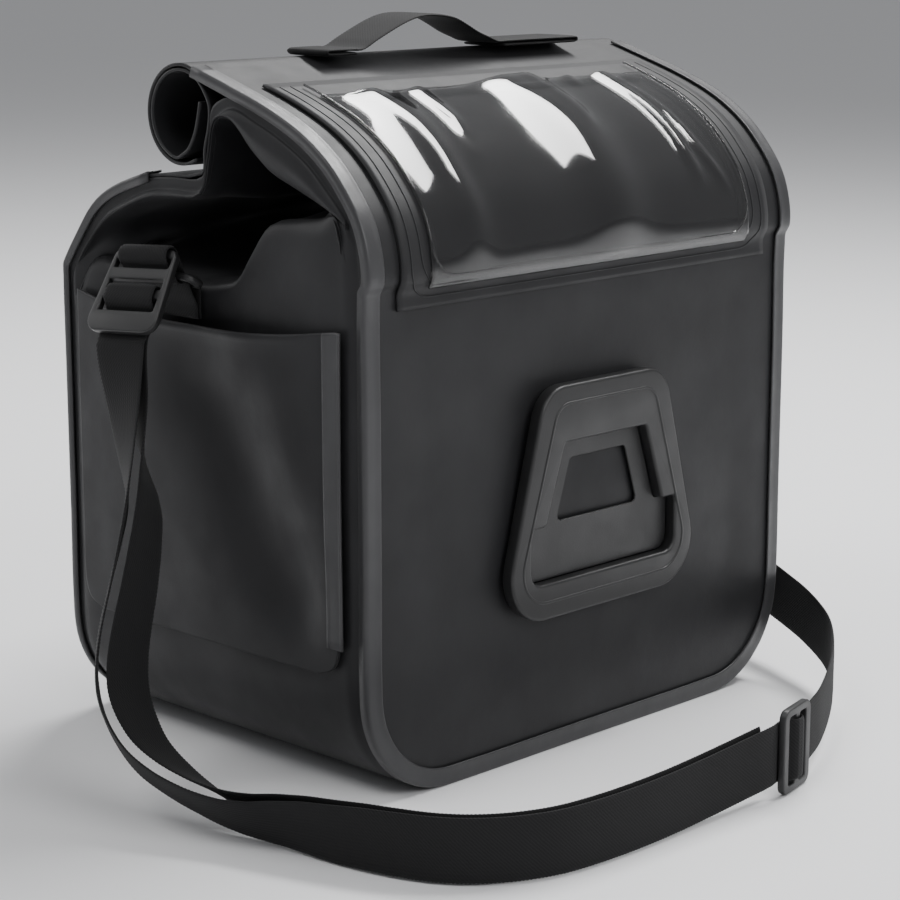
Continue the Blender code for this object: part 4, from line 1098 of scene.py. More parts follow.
# Points across the tape's face: share of TAPE_FACE from its corner, and height over it
TAPE_ACROSS = ((1.0, 0.0), (0.93, TAPE_BEAD), (0.86, 0.0), (0.50, 0.0), (0.25, 0.0))
TAPE_BEND = (90, 60, 30, 0)
TAPE_HEIGHTS = (0.7, 0.3)


def tape_route(path, stop):
    """Edge of a sheet as (point, face normal, side normal), from one roll end round to the other."""
    face = -1 if path[0].x < 0 else 1
    normals = normals_of(path, 1 if face < 0 else -1)
    half = WIDTH / 2
    route = []
    for point, normal in list(zip(path, normals))[stop::-1]:
        route.append((Vector((-half, point.x, point.y)), Vector((0.0, normal.x, normal.y)),
                      Vector((-1.0, 0.0, 0.0))))
    plane, out = path[0].x, Vector((0.0, face, 0.0))
    for height in TAPE_HEIGHTS:
        place = CORNER_RADIUS + (path[0].y - CORNER_RADIUS) * height
        route.append((Vector((-half, plane, place)), out, Vector((-1.0, 0.0, 0.0))))
    for step in range(CORNER_SPANS + 1):
        turn = math.radians(180 + 90 * step / CORNER_SPANS)
        side = Vector((math.cos(turn), 0.0, math.sin(turn)))
        middle = Vector((CORNER_RADIUS - half, plane, CORNER_RADIUS))
        route.append((middle + side * CORNER_RADIUS, out, side))
    mirrored = [(Vector((-p.x, p.y, p.z)), n.copy(), Vector((-s.x, s.y, s.z))) for p, n, s in route]
    middle = [(Vector((0.0, plane, 0.0)), out, Vector((0.0, 0.0, -1.0)))]
    return route + middle + mirrored[::-1]


def tape_band(name, path, stop, node):
    """Fine tape with a weld bead near its edge."""
    lift = GAP + TAPE
    rows = []
    for point, face, side in tape_route(path, stop):
        corner = point + face * lift
        row = []
        for share, height in TAPE_ACROSS:
            row.append(corner - side * (TAPE_FACE * share) + face * height)
        for turn in TAPE_BEND:
            bend = math.radians(turn)
            row.append(corner - (face + side) * TAPE_ROUND
                       + (face * math.sin(bend) + side * math.cos(bend)) * TAPE_ROUND)
        row.append(corner - face * (TAPE_SIDE + lift))
        rows.append(row)
    grid = spline_down(as_grid(rows), TAPE_DOWN)
    return dress(cloth(name, grid, TAPE, TAPE_FINISH, flip=path[0].x < 0), "edge_tape", node)


tape_band("front_tape", front_slope_path(), len(FRONT_SLOPE) + 1, "front_edge_tape")
tape_band("rear_tape", rear_slope_path(), len(REAR_SLOPE), "rear_edge_tape")

# %% [markdown]
# ## Side pockets
# A flat sheet welded along three sides, open at the top, where its hem sags and stands a little off the
# wall. The long dent of the side shows through it. A narrow tape closes its front edge.

# %% Side pockets
POCKET_DOWN, POCKET_ACROSS = 5, 6
HEM_ROUND = 0.0011
HEM_HEIGHT = 0.004
MOUTH_LIFT = 0.55
POCKET_SIZE, POCKET_SEED, POCKET_BIAS = 0.040, 12.0, 0.2
POCKET_SIDE = (0.008, 0.030)
POCKET_START = (0.006, 0.03)
BELOW_HEM = (0.004, 0.020)
BAND_DOWN, BAND_ACROSS = 4, 6


def pocket_height(share, back):
    """Height on a side pocket: share 0 at its foot and 1 at its sagging hem."""
    sag = HEM_SAG * (1 - (back / POCKET_FRONT) ** 2)
    return POCKET_FLOOR + (POCKET_HEM - sag - POCKET_FLOOR) * share


def pocket_point(side, share, column):
    """Point on a side pocket's outer face: share up from its foot, column across from -1 to 1."""
    rise = min(POCKET_CORNER, share * (POCKET_HEM - POCKET_FLOOR))
    cut = POCKET_CORNER - math.sqrt(max(0.0, 2 * POCKET_CORNER * rise - rise ** 2))
    back = column * ((POCKET_FRONT if column < 0 else POCKET_REAR) - cut)
    height = pocket_height(share, back)
    lift = POCKET_EASE + SHEET + POCKET_MOUTH * MOUTH_LIFT * (1 - column ** 2) * share ** 2
    if share > POCKET_SHARES[-3]:
        lift += HEM_BEAD * (1 - column ** 4)
    return Vector((side * (WIDTH / 2 + side_form(back, height) + lift), back, height))


def pocket_rows(side):
    """Outer face of a side pocket from its foot to its hem."""
    return [[pocket_point(side, share, column) for column in POCKET_COLUMNS]
            for share in POCKET_SHARES]


def pocket_cloth(name, side, node):
    """Fine side pocket with a rolled hem and shallow dents."""
    grid = finer(pocket_rows(side), POCKET_DOWN, POCKET_ACROSS)
    out = facing(grid, side > 0)
    back = np.abs(grid[:, :, 1])
    below = grid[-1:, :, 2] - grid[:, :, 2]
    loose = fade(POCKET_FRONT - back, *POCKET_SIDE)
    loose = loose * fade(grid[:, :, 2], POCKET_FLOOR + POCKET_START[0], POCKET_FLOOR + POCKET_START[1])
    push = WALL_DENT * loose * (rumple(grid, POCKET_SIZE, POCKET_SEED) + POCKET_BIAS)
    push *= fade(below, *BELOW_HEM)
    push -= deepen(grid)
    push += HEM_ROUND * np.exp(-((below - HEM_HEIGHT / 2) / (HEM_HEIGHT / 2)) ** 2) * loose
    grid = grid + out * push[:, :, None]
    return dress(cloth(name, grid, SHEET, FABRIC, flip=side > 0), "coated_fabric", node)


def pocket_tape(name, side, node):
    """Fine tape over a pocket's front edge, with a bead along both sides."""
    rows = []
    for share in POCKET_SHARES[2:]:
        row = []
        for column in (-1.0 - POCKET_TAPE_LAP / POCKET_FRONT, -1.0, POCKET_COLUMNS[1]):
            place = pocket_point(side, share, max(-1.0, column))
            place.x += side * (GAP + TAPE)
            place.y = column * POCKET_FRONT
            row.append(place)
        rows.append(row)
    grid = finer(rows, BAND_DOWN, BAND_ACROSS)
    bead = np.zeros(grid.shape[:2])
    bead[:, 1] = bead[:, -2] = TAPE_BEAD
    grid = grid + facing(grid, side > 0) * bead[:, :, None]
    return dress(cloth(name, grid, TAPE, TAPE_FINISH, flip=side > 0), "edge_tape", node)


for word, side in (("left", -1), ("right", 1)):
    pocket_cloth("pocket_cloth_" + word, side, "side_pocket_" + word)
    pocket_tape("pocket_band_" + word, side, "pocket_tape_" + word)

# %% [markdown]
# ## Map pocket
# A border sheet is welded round the front slope and a clear film closes its opening. The film is stiffer
# than the cloth beneath it, so the slope's bend throws it into long ridges that start at its top
# edge. Those ridges are what turn one light panel into separate white streaks, so they are real shape:
# a table gives each ridge its line down the film, its width and its height.

# %% Map pocket border
def slope_sheet(places, lift, sides, rise):
    """Rows over the front slope at (point, normal) places, lifted off it and raised in the middle."""
    rows = []
    last = len(places) - 1
    for step, (place, normal) in enumerate(places):
        row = []
        for side in sides:
            hump = rise * math.sin(math.pi * step / last) * (1 - (side / sides[-1]) ** 2)
            spot = place + normal * (lift + hump + panel_form(side, place.y))
            row.append(Vector((side, spot.x, spot.y)))
        rows.append(row)
    return rows


def map_places():
    """Places and normals up the front slope that the map pocket covers."""
    path = front_slope_path()
    stop = len(FRONT_SLOPE)
    places = list(zip(path, normals_of(path, 1)))[:stop + 1]
    return [(Vector((path[0].x, MAP_FOOT)), Vector((-1.0, 0.0)))] + places


MAP_DOWN, MAP_ACROSS = 4, 6
MAP_COLUMNS = (-1.0, -0.6, -0.2, 0.2, 0.6, 1.0)


def map_border():
    """Fine border of the map pocket."""
    half = MAP_WIDTH / 2
    inner = half - MAP_RIM
    sides = [-half] + [inner * share for share in MAP_COLUMNS] + [half]
    rows = slope_sheet(map_places(), GAP + SHEET, sides, 0.0)
    low, high = 2 * MAP_DOWN, (len(rows) - 2) * MAP_DOWN
    left, right = MAP_ACROSS, (len(sides) - 2) * MAP_ACROSS
    grid = finer(rows, MAP_DOWN, MAP_ACROSS)
    thing = cloth("map_border", grid, SHEET, FABRIC, flip=True,
                  skip=lambda i, j: low <= i < high and left <= j < right)
    return dress(thing, "coated_fabric", "map_pocket")


map_border()

# %% Clear film
FILM_DOWN, FILM_ACROSS = 8, 16
FILM_RIDGES = (
    # side and up where it starts, side and up where it ends, width, height
    (-0.78, 1.04, -0.74, 0.10, 0.100, 0.0023),
    (-0.46, 1.04, -0.56, 0.62, 0.050, 0.0013),
    (0.07, 1.04, 0.12, 0.02, 0.200, 0.0038),
    (0.20, 1.04, 0.16, 0.58, 0.060, 0.0014),
    (0.46, 1.04, 0.44, 0.82, 0.060, 0.0014),
    (0.66, 1.04, 0.74, 0.30, 0.045, 0.0018),
    (0.70, 0.98, 0.90, 0.26, 0.030, 0.0012),
)
FILM_WAVER, WAVER_SIZE, WAVER_SEED = 0.05, 0.045, 33.0
FILM_DENT, FILM_SIZE, FILM_SEED, FILM_BIAS = 0.0003, 0.03, 21.0, 0.6
# Columns of the film as shares of its half width
FILM_COLUMNS = (-1.0, -0.8, -0.5, -0.2, 0.2, 0.5, 0.8, 1.0)
# A ridge keeps 1 - RIDGE_NARROWS of its width at its end, and fades over the last part of its run
RIDGE_NARROWS = 0.25
RIDGE_END = (0.70, 1.0)
# Where the film comes free of its weld: from the sides, from the foot and from the head
FREE_SIDE, FREE_FOOT, FREE_HEAD = (0.03, 0.14), (0.06, 0.16), (0.01, 0.06)


def film_lift(across, up, waver):
    """How far the ridges lift the film at a place; across runs from -1 to 1 and up from 0 to 1."""
    lift = np.zeros(across.shape)
    for side0, up0, side1, up1, width, height in FILM_RIDGES:
        held = np.clip((up0 - up) / (up0 - up1), 0.0, 1.0)
        away = across + FILM_WAVER * waver - side0 - held * (side1 - side0)
        spread = width * (1 - RIDGE_NARROWS * held)
        lift += height * np.exp(-(away / spread) ** 2) * (1 - fade(held, *RIDGE_END))
    return lift


def map_film():
    """Clear film with its ridges."""
    places = map_places()
    low, high = 2, len(places) - 2
    below = places[low][0] + (places[low - 1][0] - places[low][0]).normalized() * FILM_LAP
    above = places[high][0] + (places[high + 1][0] - places[high][0]).normalized() * FILM_LAP
    spread = [(below, places[low - 1][1])] + places[low:high + 1] + [(above, places[high + 1][1])]
    edge = MAP_WIDTH / 2 - MAP_RIM + FILM_LAP
    sides = [edge * share for share in FILM_COLUMNS]
    grid = finer(slope_sheet(spread, 2 * GAP + SHEET + FILM, sides, FILM_RISE), FILM_DOWN, FILM_ACROSS)
    up = np.linspace(0.0, 1.0, grid.shape[0])[:, None] * np.ones(grid.shape[1])
    across = grid[:, :, 0] / edge
    free = fade(1 - np.abs(across), *FREE_SIDE) * fade(up, *FREE_FOOT) * fade(1 - up, *FREE_HEAD)
    lift = film_lift(across, up, rumple(grid, WAVER_SIZE, WAVER_SEED))
    lift = lift + FILM_DENT * (rumple(grid, FILM_SIZE, FILM_SEED) + FILM_BIAS)
    grid = grid + facing(grid, True) * (lift * free)[:, :, None]
    return dress(cloth("map_film", grid, FILM, FILM_FINISH, flip=True), "clear_film", "map_window")


map_film()

# %% [markdown]
# The film is welded to its border along a narrow line that stands up as a bright rounded thread. A bar
# of half a millimetre along that line catches the light as the real one does. Two finer lines beside it
# are the marks of the tool that pressed the border on the cloth.

# %% Weld threads
THREAD = 0.00050
THREAD_FINE = 0.00032
THREAD_CORNER = 0.012
THREAD_END = 0.0005
THREAD_STEP = 0.003
THREAD_TURNS = 8
# Each thread: how far in from the edge of its sheet, and how far above the foot and below the head
FILM_LINE = (0.0006, 0.0125, 0.006)
BORDER_LINE = (0.0050, 0.0045, 0.004)
INNER_LINE = (0.0105, 0.0085, 0.004)


def weld_thread(name, half, foot, head, lift, radius, finish, slot_name):
    """Thread on the slope along both sides and the foot of a rectangle, with round lower corners."""
    places = map_places()
    outline = rounded_outline([(-half, head), (-half, foot), (half, foot), (half, head)],
                              [THREAD_END, THREAD_CORNER, THREAD_CORNER, THREAD_END], THREAD_TURNS)
    line = []
    for (side0, up0), (side1, up1) in zip(outline, outline[1:]):
        steps = max(1, int(math.hypot(side1 - side0, up1 - up0) / THREAD_STEP))
        for step in range(steps):
            share = step / steps
            line.append((side0 + (side1 - side0) * share, up0 + (up1 - up0) * share))
    rows = spline_down(as_grid([[Vector((0.0, place.x, place.y)), Vector((0.0, normal.x, normal.y))]
                                for place, normal in places]), THREAD_TURNS)
    run = np.concatenate([[0.0], np.cumsum(np.linalg.norm(np.diff(rows[:, 0], axis=0), axis=1))])
    points = []
    for side, up in line:
        if not 0.0 <= up <= run[-1]:
            continue
        spot = [np.interp(up, run, rows[:, 0, axis]) for axis in (1, 2)]
        out = Vector([np.interp(up, run, rows[:, 1, axis]) for axis in (1, 2)]).normalized()
        bulge = panel_form(side, spot[1])
        points.append((side, spot[0] + out.x * (lift + bulge), spot[1] + out.y * (lift + bulge)))
    return dress(wire(name, points, radius, finish, closed=False), slot_name)


SLOPE_LENGTH = lengths_along([place for place, _ in map_places()])[-1]
FILM_HALF = MAP_WIDTH / 2 - MAP_RIM + FILM_LAP
weld_thread("film_thread", FILM_HALF - FILM_LINE[0], FILM_LINE[1], SLOPE_LENGTH - FILM_LINE[2],
            2 * GAP + SHEET + FILM, THREAD, FILM_FINISH, "clear_film")
for name, (inset, foot, head) in (("border_thread", BORDER_LINE), ("border_thread_inner", INNER_LINE)):
    weld_thread(name, MAP_WIDTH / 2 - inset, foot, SLOPE_LENGTH - head,
                GAP + SHEET, THREAD_FINE, FABRIC, "coated_fabric")
print("weld threads up", round(SLOPE_LENGTH, 3), "m of slope")

# %% [markdown]
# ## Bracket socket
# The moulded frame is a flat plate with soft edges and a stepped window, welded on by a flange. A 2D
# curve with holes gives such a plate with true round corners. A bead runs round its outer edge.

# %% Bracket
BRACKET_FOOT = 0.0595
BRACKET_HEIGHT = 0.0950
BRACKET_WIDE = 0.124
BRACKET_NARROW = 0.074
BRACKET_THICK = 0.0062
BRACKET_ROUND = 0.020
BRACKET_ROUND_TOP = 0.015
BRACKET_SOFT = 0.0014
SOCKET_FOOT = 0.0745
SOCKET_STEP = 0.098
SOCKET_TOP = 0.131
SOCKET_WIDE = 0.089
SOCKET_SHELF = 0.072
SOCKET_NARROW = 0.050
SOCKET_ROUND = 0.006
BEAD_IN = 0.0075
BEAD_RADIUS = 0.0007
BEAD_SUNK = 0.4
INSET_ROUND = 0.8
BRACKET_TURNS, SOCKET_TURNS = 12, 3


def bracket_matrix(face):
    """Frame of the bracket's plates: x along the front, y up, z out of the front."""
    return Matrix.Translation((0.0, face, 0.0)) @ Matrix.Rotation(math.radians(90), 4, "X")


def socket_outline(grow, round_corner):
    """Stepped outline of the bracket's window, grown or shrunk all round."""
    wide, shelf, narrow = (size / 2 + grow for size in (SOCKET_WIDE, SOCKET_SHELF, SOCKET_NARROW))
    foot, top = SOCKET_FOOT - grow, SOCKET_TOP + grow
    corners = [(-wide, foot), (wide, foot), (wide, SOCKET_STEP + grow), (shelf, SOCKET_STEP + grow),
               (narrow, top), (-narrow, top), (-shelf, SOCKET_STEP + grow), (-wide, SOCKET_STEP + grow)]
    small = round_corner / 3
    radii = [round_corner, round_corner, small, small, small, small, small, small]
    return rounded_outline(corners, radii, SOCKET_TURNS)


def bracket_outline(inset):
    """Outer outline of the bracket's frame, moved in by an inset."""
    wide, narrow = BRACKET_WIDE / 2 - inset, BRACKET_NARROW / 2 - inset
    top = BRACKET_FOOT + BRACKET_HEIGHT - inset
    foot = BRACKET_FOOT + inset
    corners = [(-wide, foot), (wide, foot), (narrow, top), (-narrow, top)]
    radii = [BRACKET_ROUND - inset * INSET_ROUND] * 2 + [BRACKET_ROUND_TOP - inset * INSET_ROUND] * 2
    return rounded_outline(corners, radii, BRACKET_TURNS)


def bracket():
    """Moulded frame, its bead and the plate deep in its window."""
    back = -DEPTH / 2 - PANEL_BULGE - GAP
    middle = bracket_matrix(back - BRACKET_THICK / 2)
    frame_piece = plate("bracket_shell", [bracket_outline(0.0), socket_outline(0.0, SOCKET_ROUND)],
                        BRACKET_THICK, BRACKET_SOFT, middle, PLASTIC)
    dress(frame_piece, "moulded_plastic", "bracket_frame")
    front = back - BRACKET_THICK
    bead = [Vector((x, front + BEAD_RADIUS * BEAD_SUNK, z)) for x, z in bracket_outline(BEAD_IN)]
    dress(wire("bracket_bead", bead, BEAD_RADIUS, PLASTIC), "moulded_plastic")
    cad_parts["bracket_plate"].data.materials.clear()
    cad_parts["bracket_plate"].data.materials.append(PLASTIC)
    print("bracket stands", round((-front - DEPTH / 2) * 1000, 1), "mm off the panel")


bracket()

# %% [markdown]
# ## Webbing
# Webbing is a thick ribbon woven with a rib across it at each millimetre and a half. Bump could draw the
# ribs, but they also notch the ribbon's edges, so they are real: a cross-section with rounded edges is
# carried along the ribbon's line, and every second ring is drawn in a little.

# %% Webbing band
RIB = 0.00150
RIB_DEPTH = 0.00036
BAND_SIDES = (-1.0, -0.97, -0.88, -0.62, -0.30, 0.0, 0.30, 0.62, 0.88, 0.97, 1.0)
LINE_STEPS = 12
LEAST_RINGS = 8
EDGE_POWER = 10
EDGE_NOTCH = 0.5


def even_line(centres, edges, step):
    """Centres and edge directions at even distances along a smooth line."""
    both = np.concatenate([as_grid([[c] for c in centres]), as_grid([[e] for e in edges])], axis=1)
    fine = np.concatenate([spline_down(both[:, :1], LINE_STEPS), spline_down(both[:, 1:], LINE_STEPS)],
                          axis=1)
    marks = np.concatenate([[0.0], np.cumsum(np.linalg.norm(np.diff(fine[:, 0], axis=0), axis=1))])
    count = max(LEAST_RINGS, 2 * int(marks[-1] / step / 2))
    goals = np.linspace(0.0, marks[-1], count + 1)
    middle, edge = (np.stack([np.interp(goals, marks, fine[:, k, axis]) for axis in range(3)], axis=1)
                    for k in (0, 1))
    return middle, edge, goals


def band(name, stations, closed=False):
    """Ribbed webbing through (centre, edge direction) stations."""
    centres = [station[0] for station in stations]
    edges = [station[1].normalized() for station in stations]
    if closed:
        centres, edges = centres + centres[:1], edges + edges[:1]
    middle, edge, goals = even_line(centres, edges, RIB / 2)
    along = np.gradient(middle, axis=0)
    if closed:
        along[0] = along[-1] = middle[1] - middle[-2]
    along /= np.linalg.norm(along, axis=1, keepdims=True) + TINY
    edge = edge - along * (edge * along).sum(1, keepdims=True)
    edge /= np.linalg.norm(edge, axis=1, keepdims=True)
    out = np.cross(along, edge)
    sides = np.array(BAND_SIDES)
    ring_side = np.concatenate([sides, sides[::-1][1:-1]])
    half = WEB_THICK / 2 * np.sqrt(np.clip(1 - np.abs(sides) ** EDGE_POWER, 0.0, 1.0))
    ring_out = np.concatenate([half, -half[::-1][1:-1]])
    rib = np.where(np.arange(len(goals)) % 2 == 0, 0.0, RIB_DEPTH)
    reach = WEBBING / 2 - EDGE_NOTCH * rib
    thin = 1 - rib / (WEB_THICK / 2)
    points = (middle[:, None, :] + edge[:, None, :] * (ring_side[None, :, None] * reach[:, None, None])
              + out[:, None, :] * (ring_out[None, :, None] * thin[:, None, None]))
    weave = np.zeros(points.shape)
    weave[:, :, 0] = ring_side * WEBBING / 2
    weave[:, :, 1] = goals[:, None]
    rows, around = points.shape[:2]
    if closed:
        rows -= 1
        points, weave = points[:-1], weave[:-1]
    faces = []
    for i in range(rows if closed else rows - 1):
        after = (i + 1) % rows
        for j in range(around):
            beside = (j + 1) % around
            faces.append((i * around + j, i * around + beside, after * around + beside, after * around + j))
    if not closed:
        faces.append(tuple(range(around - 1, -1, -1)))
        faces.append(tuple((rows - 1) * around + j for j in range(around)))
    thing = place_mesh(name, points, faces, WEBBING_FINISH)
    store = thing.data.attributes.new("weave", "FLOAT_VECTOR", "POINT")
    store.data.foreach_set("vector", weave.reshape(-1).astype(np.float32))
    print(name, round(goals[-1], 3), "m of webbing,", len(faces), "faces")
    return thing


# %% [markdown]
# ## Handle
# A short length of webbing lies along the roll, stitched down at both ends, where it is folded under.
# It arches up between them, higher toward the left end.

# %% Handle
def handle_band():
    """Carrying handle: webbing along the roll with both ends folded under."""
    low = ROLL_TOP + GAP + WEB_THICK / 2
    high = low + WEB_THICK + GAP
    fold = (high - low) / 2
    peak = high + HANDLE_ARCH
    left, right = HANDLE_LEFT - fold, HANDLE_RIGHT - fold
    arch_left, arch_right = HANDLE_ARCH_LEFT, HANDLE_ARCH_RIGHT
    profile = [Vector((-arch_left - HANDLE_UNDER, low)), Vector((-left, low))]
    profile += arc(Vector((-left, low + fold)), fold, -135, -225, 2)
    profile += [Vector((-left, high)), Vector((-arch_left - HANDLE_LEVEL, high))]
    arch = [Vector((-arch_left, high)), Vector((-0.66 * arch_left, high + 0.52 * HANDLE_ARCH)),
            Vector((-0.36 * arch_left, high + 0.90 * HANDLE_ARCH)), Vector((-0.10 * arch_left, peak)),
            Vector((0.28 * arch_right, high + 0.84 * HANDLE_ARCH)),
            Vector((0.66 * arch_right, high + 0.34 * HANDLE_ARCH)), Vector((arch_right, high))]
    profile += smooth(arch, 2)
    profile += [Vector((arch_right + HANDLE_LEVEL, high)), Vector((right, high))]
    profile += arc(Vector((right, low + fold)), fold, 45, -45, 2)
    profile += [Vector((right, low)), Vector((arch_right + HANDLE_UNDER, low))]
    edge = Vector((0.0, -1.0, 0.0))
    stations = [(Vector((point.x, HANDLE_BACK, point.y)), edge) for point in profile]
    return dress(band("handle_band", stations), "webbing", "handle")


handle_band()

# %% [markdown]
# ## Buckles, rings and tabs
# On each side a tab of webbing welded to the wall holds a rectangular ring, a loop of webbing joins the
# ring to a ladder-lock buckle, and the strap is wound round the buckle's lower bar. Each is placed from
# the buckle's own frame: its top bar, and its edge, down and out directions.

# %% Places of the buckle
def buckle_frame(side):
    """Origin at the middle of a buckle's top bar, and its edge, down and out directions."""
    down = Vector(BUCKLE_LEAN).normalized()
    turn = math.radians(BUCKLE_TURN)
    edge = Vector((math.sin(turn), -math.cos(turn), 0.0))
    edge = (edge - down * edge.dot(down)).normalized()
    out = down.cross(edge)
    origin = Vector((-WIDTH / 2 - BUCKLE_OUT, BUCKLE_BACK, BUCKLE_HIGH))
    if side > 0:
        return tuple(Vector((-v.x, v.y, v.z)) for v in (origin, edge, down, out))
    return origin, edge, down, out


def in_buckle(buckle, down, out):
    """Point in a buckle's frame."""
    return buckle[0] + buckle[2] * down + buckle[3] * out


def bar_places():
    """Where each slot of the buckle starts and ends below its top edge."""
    first = (BAR, BAR + SLOT)
    second = (first[1] + FLAT_BAR, first[1] + FLAT_BAR + SLOT)
    third = (second[1] + BAR, second[1] + BAR + STRAP_SLOT)
    return first, second, third


def ring_bars(side):
    """Centres of a ring's bar at the wall and of its bar in the anchor webbing."""
    outer = in_buckle(buckle_frame(side), RING_DROP, -RING_BEHIND)
    wall = WIDTH / 2 + WEB_THICK + 2 * GAP + RING_WIRE / 2
    inner = Vector((side * wall, BUCKLE_BACK, RING_HIGH))
    return inner, outer


def belt(first, first_radius, second, second_radius, spans):
    """Closed path of a belt round two circles in one plane."""
    line = second - first
    lean = math.degrees(math.atan2(line.y, line.x))
    spread = math.degrees(math.acos((first_radius - second_radius) / line.length))
    path = arc(second, second_radius, lean - spread, lean + spread, spans)
    path += arc(first, first_radius, lean + spread, lean + 360 - spread, spans)
    return path


print("slots below the buckle's top edge", [round(stop, 4) for _, stop in bar_places()])

# %% Buckles and rings
BUCKLE_TURNS, SLOT_TURNS, RING_TURNS = 8, 4, 6
RING_SIDES = 6
LOOP_SPANS, TAB_SPANS = 10, 6
TAB_BEND = 0.55


def buckle_plate(word, side):
    """Ladder-lock buckle: a flared plate with three slots and soft edges."""
    buckle = buckle_frame(side)
    across = buckle[1]
    normal = across.cross(buckle[2])
    matrix = Matrix((across, buckle[2], normal)).transposed().to_4x4()
    matrix.translation = buckle[0]
    top, foot, rise = BUCKLE_TOP / 2, BUCKLE_FOOT / 2, -BAR / 2
    corners = [(-top, rise), (top, rise), (foot, rise + BUCKLE_LENGTH), (-foot, rise + BUCKLE_LENGTH)]
    radii = [BUCKLE_ROUND_TOP, BUCKLE_ROUND_TOP, BUCKLE_ROUND_FOOT, BUCKLE_ROUND_FOOT]
    outlines = [rounded_outline(corners, radii, BUCKLE_TURNS)]
    slot_half = WEBBING / 2 + 2 * GAP + SLOT_SLACK
    for start, stop in bar_places():
        low, high = rise + start, rise + stop
        box = [(-slot_half, low), (slot_half, low), (slot_half, high), (-slot_half, high)]
        outlines.append(rounded_outline(box, [SLOT_ROUND] * 4, SLOT_TURNS))
    thing = plate("buckle_plate_" + word, outlines, BUCKLE_THICK, BUCKLE_SOFT, matrix, PLASTIC)
    return dress(thing, "moulded_plastic", "buckle_" + word)


def ring_wire(word, side):
    """Rectangular ring between the wall's tab and the anchor webbing."""
    inner, outer = ring_bars(side)
    edge = buckle_frame(side)[1] * (RING_WIDTH / 2)
    level = Vector((0.0, -RING_WIDTH / 2, 0.0))
    along = (outer - inner).normalized()
    reach = (outer - inner).length
    corners = [(-RING_WIDTH / 2, 0.0), (RING_WIDTH / 2, 0.0), (RING_WIDTH / 2, reach),
               (-RING_WIDTH / 2, reach)]
    places = []
    for across, out in rounded_outline(corners, [RING_CORNER] * 4, RING_TURNS):
        turn = level.lerp(edge, out / reach)
        places.append(inner + along * out + turn * (across / (RING_WIDTH / 2)))
    thing = wire("ring_wire_" + word, places, RING_WIRE / 2, PLASTIC, sides=RING_SIDES)
    return dress(thing, "moulded_plastic", "ring_" + word)


def anchor_band(word, side):
    """Loop of webbing round the buckle's top bar and the ring's outer bar."""
    buckle = buckle_frame(side)
    outer = ring_bars(side)[1] - buckle[0]
    goal = Vector((outer.dot(buckle[2]), outer.dot(buckle[3])))
    bar_corner = math.hypot(BAR / 2, BUCKLE_THICK / 2)
    path = belt(Vector((0.0, 0.0)), bar_corner + GAP + WEB_THICK / 2,
                goal, RING_WIRE / 2 + GAP + WEB_THICK / 2, LOOP_SPANS)
    stations = [(in_buckle(buckle, point.x, point.y), buckle[1]) for point in path]
    return dress(band("anchor_band_" + word, stations, closed=True), "webbing", "anchor_webbing_" + word)


def tab_band(word, side):
    """Tab of webbing welded to the wall and turned over the ring's inner bar."""
    inner = ring_bars(side)[0]
    turn = RING_WIRE / 2 + GAP + WEB_THICK / 2
    bar = Vector((abs(inner.x), inner.z))
    profile = [bar + Vector((-turn, -TAB_DROP)), bar + Vector((-turn, -TAB_NECK))]
    profile += arc(bar, turn, 180, 0, TAB_SPANS)
    outside = -turn + WEB_THICK + GAP
    profile += [bar + Vector((turn * TAB_BEND, -TAB_NECK)), bar + Vector((outside, -TAB_JOIN)),
                bar + Vector((outside, -TAB_DROP))]
    edge = Vector((0.0, -1.0, 0.0))
    stations = [(Vector((side * point.x, inner.y, point.y)), edge) for point in profile]
    return dress(band("tab_band_" + word, stations), "webbing", "ring_tab_" + word)


def hardware(word, side):
    """Everything that holds the strap on one side."""
    buckle_plate(word, side)
    ring_wire(word, side)
    anchor_band(word, side)
    tab_band(word, side)
    print("hardware", word)


for word, side in (("left", -1), ("right", 1)):
    hardware(word, side)

# %% [markdown]
# ## Shoulder strap
# The strap leaves the left buckle doubled, hangs down beside the bag, turns on its edge and runs over
# the floor to a slider, then goes single round the right corner and up to the other buckle. Its route
# is a table of places that its middle passes, with where its upper edge points.

# %% Route of the strap
# Shoulder strap, from the left buckle over the floor to the slider. Centre of the webbing as shares
# of half the width, half the depth and the shoulder; edge_* is where its first edge points; open is
# the angle in degrees between its two layers.
STRAP_LEFT = (
    # side, back, up, edge_side, edge_back, edge_up, open
    (-1.335, -0.030, 0.660, -0.45, -0.90, 0.00, 14.0),
    (-1.370, -0.080, 0.565, -0.68, -0.73, 0.00, 24.0),
    (-1.442, -0.090, 0.430, -0.64, -0.77, 0.10, 36.0),
    (-1.508, -0.115, 0.320, -0.60, -0.78, 0.16, 40.0),
    (-1.550, -0.200, 0.218, -0.60, -0.74, 0.36, 38.0),
    (-1.555, -0.410, 0.128, -0.60, -0.58, 0.58, 30.0),
    (-1.505, -0.710, 0.075, -0.62, -0.28, 0.66, 18.0),
    (-1.432, -1.000, 0.052, -0.55, -0.05, 0.78, 8.0),
    (-1.390, -1.250, 0.060, -0.30, 0.00, 0.95, 3.0),
    (-1.345, -1.500, 0.067, -0.10, 0.00, 1.00, 0.0),
    (-1.270, -1.760, 0.067, 0.00, 0.00, 1.00, 0.0),
    (-1.155, -1.950, 0.067, 0.00, 0.00, 1.00, 0.0),
    (-0.960, -2.085, 0.067, 0.00, 0.00, 1.00, 0.0),
    (-0.660, -2.125, 0.067, 0.00, 0.00, 1.00, 0.0),
    (-0.370, -2.125, 0.072, 0.00, 0.00, 1.00, 0.0),
)

